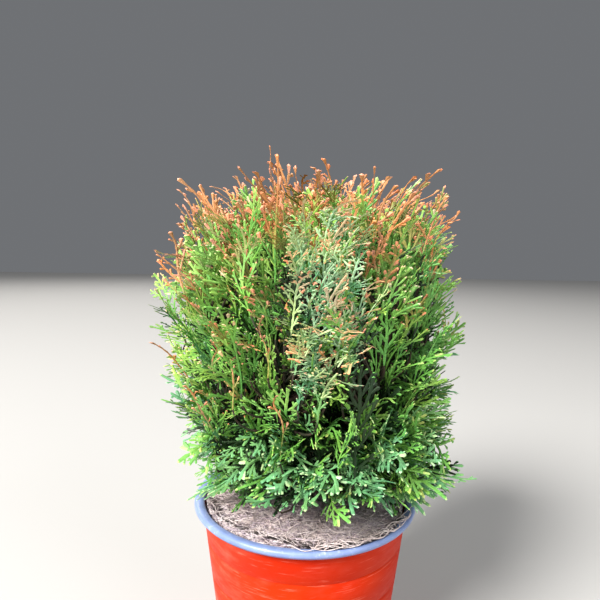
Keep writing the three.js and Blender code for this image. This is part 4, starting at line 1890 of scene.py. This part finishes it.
@dataclass
class Foliage:
    """Twigs and fronds that grow on from the stems until the crown is full.

    Millimetres, and degrees where it isn't said otherwise. back is the sine of the azimuth past which
    tips stay within back_share. Each of hollows is an azimuth, a height, and half its width and height.
    rise is how steeply fronds rise at shares of the way up. azimuth_spread and yaw_spread are in
    radians, and upright is how near 1 a heading's own height is when it counts as upright. Feet stay within
    a share of the crown's reach at their own height, or at lowest_over_pot where that is higher, and
    those that stand over the pot are no lower than feet_over_pot.
    """

    skeleton: Skeleton
    seed: int = 7
    frond_seed: int = 40
    outline_steps: int = 250
    spread_in_turn: tuple[float, float] = (0.1, 0.9)
    azimuth_spread: float = 0.08
    back: float = 0.2
    back_share: float = 1.0
    hollows: tuple[tuple[float, ...], ...] = ((-67, 246, 12, 27), (-112, 214, 9, 13))
    fans_to: float = 230
    fans_fade: float = 50
    rise: Rule = ((0, 0.12, 0.3, 0.5, 0.8, 1.0), (-12, 6, 32, 58, 68, 80))
    rise_spread: float = 11
    yaw_spread: float = 0.5
    upright: float = 0.95
    steepest: float = 92.0
    lowest_start: float = -40.0
    arch_up: float = 0.8
    arch_down: float = 1.6
    bend: float = 0.45
    feet_within: float = 0.84
    feet_to: float = 0.9
    pot_reach: float = 78
    lowest_over_pot: float = 134
    feet_over_pot: float = 138
    feet_scatter: float = 8
    twig_angle: float = 44
    twig_starts: int = 20
    twig_ahead: float = 0.02
    twig_off_angle: float = 0.5
    twig_turn: float = 0.8
    twig_wander: float = 0.07
    twig_bend: float = 0.3
    twig_sink: float = 2
    twig_step: float = 7
    twig_radii: tuple[float, float] = (0.95, 0.5)
    twig_sides: int = 5
    waves_per_metre: float = 26.0
    sway: float = 0.03
    placed: list[Placed] = field(default_factory=list)
    twigs: Tubes = field(default_factory=Tubes)

    def __post_init__(self) -> None:
        """Plans every frond and its twig."""
        self.crown = self.skeleton.crown
        self.habits = {habit.name: habit for habit in HABITS}
        self.first: dict[str, int] = {}
        count = 0
        for habit in HABITS:
            self.first[habit.name] = count
            count += habit.variants
        for number, layer in enumerate(LAYERS):
            self.rng = np.random.default_rng(self.seed + number)
            self.dealer = Dealer(self.rng)
            self.fill(layer)
            LOG.info("%s: %d fronds so far", layer.name, len(self.placed))

    def aims(self, layer: Layer) -> list[Aim]:
        """Points spread evenly over a layer's part of the crown.

        Args:
            layer: the shell that they are for.

        Returns:
            An aim for each of its fronds.
        """
        crown = self.crown
        spaced = np.linspace(0, 1, self.outline_steps) ** 3
        turns = np.concatenate([-spaced[:0:-1] * 90, spaced * 90])
        turns = np.radians(turns[(turns >= layer.lowest) & (turns <= layer.highest)])
        profile = [crown.point_at(0.0, turn, 1.0) for turn in turns]
        radii = np.array(
            [max(0.5, p.x - crown.centre.x - crown.lean_at(p.z - crown.centre.z)) for p in profile]
        )
        steps = np.array([(b - a).length for a, b in zip(profile, profile[1:])])
        area = np.concatenate([[0], np.cumsum(steps * (radii[1:] + radii[:-1]) / 2)])
        found = []
        for i in range(layer.count):
            wanted = area[-1] * (i + self.rng.uniform(*self.spread_in_turn)) / layer.count
            turn = float(np.interp(wanted, area, turns))
            azimuth = i * GOLDEN_ANGLE
            azimuth += self.rng.uniform(-self.azimuth_spread, self.azimuth_spread)
            if layer.facing:
                middle, spread = layer.facing
                azimuth = math.radians(middle + spread * self.rng.uniform(-1, 1))
            share = self.rng.uniform(*layer.share)
            if math.sin(azimuth) > self.back:
                share = min(share, self.back_share)
            found.append(Aim(azimuth % (2 * math.pi), crown.point_at(azimuth, turn, share)))
        return found

    def crown_bound(self, root: Vector) -> Vector:
        """A frond's foot, drawn in when it would stand outside the crown.

        Args:
            root: where the foot would be.

        Returns:
            Where it is.
        """
        height = min(root.z, self.crown.centre.z + self.crown.rise * self.feet_to)
        middle = self.crown.middle_at(height)
        azimuth = math.atan2(root.y, root.x - middle)
        distance = math.hypot(root.x - middle, root.y)
        limit = self.feet_within * self.crown.reach_at(azimuth, max(height, self.lowest_over_pot))
        fit = min(1.0, limit / max(distance, 1.0))
        return Vector((middle + (root.x - middle) * fit, root.y * fit, root.z))

    def in_hollow(self, aim: Aim) -> bool:
        """Whether a tip would close one of the dark hollows in the crown's face.

        Args:
            aim: the tip's.

        Returns:
            Whether it would.
        """
        radius = math.hypot(aim.tip.x, aim.tip.y)
        for middle, height, half_width, half_height in self.hollows:
            turned = (aim.azimuth - math.radians(middle) + math.pi) % (2 * math.pi) - math.pi
            if (turned * radius / half_width) ** 2 + ((aim.tip.z - height) / half_height) ** 2 < 1:
                return True
        return False

    def habit_at(self, height: float, layer: Layer) -> Habit:
        """One of a layer's habits, where a plume is a fan low down.

        Args:
            height: of the frond's tip.
            layer: the shell that it is in.

        Returns:
            The habit.
        """
        name = str(self.rng.choice(layer.habits))
        if name in ("plume", "fan"):
            name = "fan" if height < self.fans_to - self.fans_fade * self.rng.random() else "plume"
        return self.habits[name]

    def pose(self, aim: Aim, habit: Habit, length: float) -> tuple[Vector, Vector, Vector]:
        """Where a frond starts and how it lies.

        Args:
            aim: where its tip comes.
            habit: the kind of frond that it is.
            length: in millimetres.

        Returns:
            Its foot, its heading, and how far its tip bends off that heading.
        """
        rng, tip, outward = self.rng, aim.tip, aim.outward
        level = Quaternion(UP, rng.normal(habit.swing, self.yaw_spread)) @ outward
        rise = float(np.interp(share_up(tip.z), *self.rise)) + rng.normal(0, self.rise_spread)
        arch = rng.uniform(*habit.arch)
        turned = math.radians(min(self.steepest, rise + self.arch_up * arch))
        opened = math.radians(max(self.lowest_start, rise - self.arch_down * arch))
        heading = level * math.cos(turned) + UP * math.sin(turned)
        leaving = outward * math.cos(opened) + UP * math.sin(opened)
        bend = (leaving - heading) * (length * self.bend)
        root = self.crown_bound(tip - heading * length - bend)
        if math.hypot(root.x, root.y) < self.pot_reach and root.z < self.feet_over_pot:
            root.z = self.feet_over_pot + rng.uniform(0, self.feet_scatter)
        return root, (tip - bend - root).normalized(), bend

    def fill(self, layer: Layer) -> None:
        """Sets the fronds of one layer, each turned about its heading and joined to its stem by a twig.

        Args:
            layer: the shell.
        """
        rng = self.rng
        for aim in self.aims(layer):
            if layer.dim < 1 and not layer.facing and self.in_hollow(aim):
                continue
            habit = self.habit_at(aim.tip.z, layer)
            size = rng.uniform(*layer.size)
            root, heading, bend = self.pose(aim, habit, habit.length * size)
            side = heading.cross(UP if abs(heading.z) < self.upright else aim.outward).normalized()
            face = side.cross(heading).normalized()
            facing = Quaternion(heading, rng.normal(0, habit.roll))
            across, normal = facing @ side, facing @ face
            if across.cross(heading).dot(normal) < 0:
                across = -across
            turn = Matrix((across, heading, normal)).transposed()
            bearer = self.skeleton.bearer_of(root)
            variant = self.first[habit.name] + int(rng.integers(habit.variants))
            palette = self.dealer.deal(aim.azimuth, share_up(aim.tip.z), habit.name, layer.dim)
            drift = Vector(rng.uniform(-1, 1, 3))
            self.placed.append(Placed(variant, root, turn, size, bend, drift, palette, bearer))
            self.add_twig(bearer, root, heading)

    def add_twig(self, bearer: Mass, root: Vector, heading: Vector) -> None:
        """Grows a twig from the stem, at about the solids' own angle, to the foot of a frond.

        Args:
            bearer: the mass whose stem carries it.
            root: the frond's foot.
            heading: the frond's.
        """
        best, best_miss = None, math.inf
        for i in range(1, self.twig_starts):
            share = i / self.twig_starts
            start = bezier(*bearer.stem, share)
            ahead = bezier(*bearer.stem, share + self.twig_ahead) - start
            way = root - start
            if way.length < 1:
                continue
            off_angle = abs(math.degrees(ahead.angle(way)) - self.twig_angle)
            turned = math.degrees(heading.angle(way))
            miss = off_angle * self.twig_off_angle + turned * self.twig_turn + way.length
            if miss < best_miss:
                best, best_miss = start, miss
        span = (root - best).length
        wander = Vector(self.rng.normal(0, self.twig_wander * span, 3))
        middle = root - heading * (span * self.twig_bend) + wander
        steps = max(3, round(span / self.twig_step))
        curve = (best, middle, root + heading * self.twig_sink)
        self.twigs.along(curve, self.twig_radii, steps, self.twig_sides)

    def scatter_tree(self) -> GeometryTree:
        """Sets fronds on points and bends each one by its own amount along its length.

        Returns:
            The tree, which takes the feet as its geometry.
        """
        kinds = {"Fronds": "Collection", "Sway": "Float", "Material": "Material"}
        tree = GeometryTree("set_fronds", kinds)
        given = tree.given
        inputs = {"Collection": given["Fronds"], "Separate Children": True, "Reset Children": True}
        fronds = tree.node("GeometryNodeCollectionInfo", inputs=inputs)
        bend, drift, turn = (tree.attribute(name, "FLOAT_VECTOR") for name in ("bend", "drift", "turn"))
        size, along = (tree.attribute(name, "FLOAT") for name in ("size", "along"))
        variant = tree.attribute("variant", "INT")
        feet = given["Geometry"]
        real = tree.set_out(feet, fronds, turn, size, Pick_Instance=True, Instance_Index=variant)
        waves = tree.noise(drift, self.waves_per_metre, 0.0, (0.5, 0.5, 0.5))
        sway = tree.vector("SCALE", waves, along * given["Sway"])
        bent = tree.vector("ADD", tree.vector("SCALE", bend, along * along), sway)
        tree.hand_out(tree.moved(real, bent))
        return tree

    @staticmethod
    def carrier(placed: list[Placed]) -> bpy.types.Object:
        """The points that carry a set of fronds, with what each one needs.

        Args:
            placed: the fronds.

        Returns:
            An object with a point for each foot.
        """
        mesh = mesh_from("frond_feet", np.array([tuple(p.root) for p in placed]), [])
        rows = {
            "turn": ("FLOAT_VECTOR", "vector", [tuple(p.turn.to_euler()) for p in placed]),
            "bend": ("FLOAT_VECTOR", "vector", [tuple(p.bend * MM) for p in placed]),
            "drift": ("FLOAT_VECTOR", "vector", [tuple(p.drift) for p in placed]),
            "size": ("FLOAT", "value", [p.size for p in placed]),
            "variant": ("INT", "value", [p.variant for p in placed]),
        }
        for name, (kind, key, values) in rows.items():
            mesh.attributes.new(name, kind, "POINT").data.foreach_set(key, np.array(values).ravel())
        return mesh_object("frond_feet", mesh)

    def build(self, bark: bpy.types.Material) -> None:
        """Builds the twigs, and one piece for each tint of leaf.

        Args:
            bark: the twigs' material.
        """
        nodes = [mass.node for mass in self.skeleton.masses]
        twigs = mesh_object("twigs", self.twigs.mesh("twigs"))
        finish_piece(twigs, bark, "bark", nodes)
        collections = {zone: bpy.data.collections.new(f"fronds_{zone.name}") for zone in Zone}
        for habit in HABITS:
            for number in range(self.first[habit.name], self.first[habit.name] + habit.variants):
                Frond(habit, self.frond_seed + number).objects(number, collections)
        tree = self.scatter_tree()
        for tint in Tint:
            self.build_tint(tint, tree, collections)
        for collection in collections.values():
            for spare in list(collection.objects):
                bpy.data.objects.remove(spare)
            bpy.data.collections.remove(collection)

    def build_tint(
        self, tint: Tint, tree: GeometryTree, collections: dict[Zone, bpy.types.Collection]
    ) -> None:
        """Builds the pieces that hold every face of one tint.

        Args:
            tint: the tint.
            tree: what sets out the fronds.
            collections: the fronds' faces, by zone.
        """
        material = tint.value.material()
        parts = tint.parts
        for part in range(parts):
            work = bmesh.new()
            nodes: set[str] = set()
            for zone in Zone:
                wearing = [p for p in self.placed if p.palette.value[zone.value] is tint]
                wearing = wearing[part::parts]
                if not wearing:
                    continue
                nodes |= {p.bearer.node for p in wearing}
                carrier = self.carrier(wearing)
                inputs = {"Fronds": collections[zone], "Sway": self.sway, "Material": material}
                work.from_mesh(tree.run(carrier, inputs))
                bpy.data.objects.remove(carrier)
            name = f"{tint.value.name}_{part + 1}"
            mesh = bpy.data.meshes.new(name)
            work.to_mesh(mesh)
            work.free()
            finish_piece(mesh_object(name, mesh), material, tint.slot, sorted(nodes))


# The studio


@dataclass(frozen=True)
class Lamp:
    """A soft round light that looks at the crown. Metres and watts."""

    name: str
    place: tuple[float, float, float]
    size: float
    power: float
    colour: tuple[float, float, float]

    def build(self) -> None:
        """Builds the light."""
        data = bpy.data.lights.new(self.name, "AREA")
        data.shape = "DISK"
        data.size = self.size
        data.energy = self.power
        data.color = self.colour
        lamp = bpy.data.objects.new(self.name, data)
        lamp.location = self.place
        aim = Vector((0, 0, 0.2)) - Vector(self.place)
        lamp.rotation_euler = aim.to_track_quat("-Z", "Y").to_euler()
        bpy.context.scene.collection.objects.link(lamp)


@dataclass
class Studio:
    """A plain pale floor, soft light from the upper left and the front, and the camera.

    Metres and degrees, and the lens in millimetres.
    """

    eye: tuple[float, float, float] = (-0.0054, -0.347, 0.2947)
    pitch_down: float = 5.25
    roll: float = 0.9
    lens: float = 31.2
    floor_size: float = 12.0
    floor_colour: Colour = srgb(176, 175, 173)
    air_colour: Colour = srgb(226, 230, 236)
    air_strength: float = 0.21
    lamps: tuple[Lamp, ...] = (
        Lamp("key", (-2.3, -2.5, 2.9), 1.9, 545, (1.0, 0.98, 0.95)),
        Lamp("fill", (2.6, -2.2, 1.8), 2.6, 72, (0.93, 0.96, 1.0)),
        Lamp("back", (-1.4, 3.2, 3.0), 2.6, 90, (1.0, 0.97, 0.93)),
    )

    def build(self) -> None:
        """Builds the floor, the lights, the surroundings and the camera."""
        self.floor()
        for lamp in self.lamps:
            lamp.build()
        self.surroundings()
        self.camera()

    def floor(self) -> None:
        """The floor, level with the pot's underside."""
        half = self.floor_size / 2
        corners = [(-half, -half, 0), (half, -half, 0), (half, half, 0), (-half, half, 0)]
        mesh = bpy.data.meshes.new("floor")
        mesh.from_pydata(corners, [], [(0, 1, 2, 3)])
        floor = mesh_object("floor", mesh)
        shader = Shader("floor", base_color=self.floor_colour, roughness=0.9)
        floor.data.materials.append(shader.material)

    def surroundings(self) -> None:
        """Pale even light from all round."""
        world = bpy.data.worlds.new("surroundings")
        world.use_nodes = True
        air = world.node_tree.nodes["Background"]
        air.inputs["Color"].default_value = self.air_colour
        air.inputs["Strength"].default_value = self.air_strength
        bpy.context.scene.world = world

    def camera(self) -> None:
        """The camera, where the photograph was taken from, with colours shown as they are."""
        bpy.context.scene.view_settings.view_transform = "Standard"
        data = bpy.data.cameras.new("camera")
        data.sensor_width = 36
        data.lens = self.lens
        data.clip_start = 0.01
        camera = bpy.data.objects.new("camera", data)
        camera.location = self.eye
        turn = Matrix.Rotation(math.radians(90 - self.pitch_down), 3, "X")
        turn = turn @ Matrix.Rotation(math.radians(self.roll), 3, "Z")
        camera.rotation_euler = turn.to_euler()
        bpy.context.scene.collection.objects.link(camera)
        bpy.context.scene.camera = camera


def main() -> None:
    """Builds the studio and every piece."""
    logging.basicConfig(level=logging.INFO, format="%(name)s: %(message)s")
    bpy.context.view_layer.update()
    Studio().build()
    young = TwigBark().material()
    skeleton = Skeleton(Crown(), Trunk())
    Limbs(skeleton).build(Bark().material(), young)
    pot = Pot()
    pot.build(PotPlastic().material(), RimPlastic().material())
    mat = Coir("coir_mat", srgb(200, 178, 178), srgb(128, 106, 106))
    straw = Coir("coir_straw", srgb(240, 228, 226), srgb(196, 174, 168), 200, 0.0002)
    ashen = Coir("coir_ashen", srgb(206, 190, 200), srgb(156, 136, 142), 200, 0.0002)
    Filling(pot).build(Medium().material(), mat.material(), [ashen.material(), straw.material()])
    Foliage(skeleton).build(young)


if __name__ == "__main__":
    main()
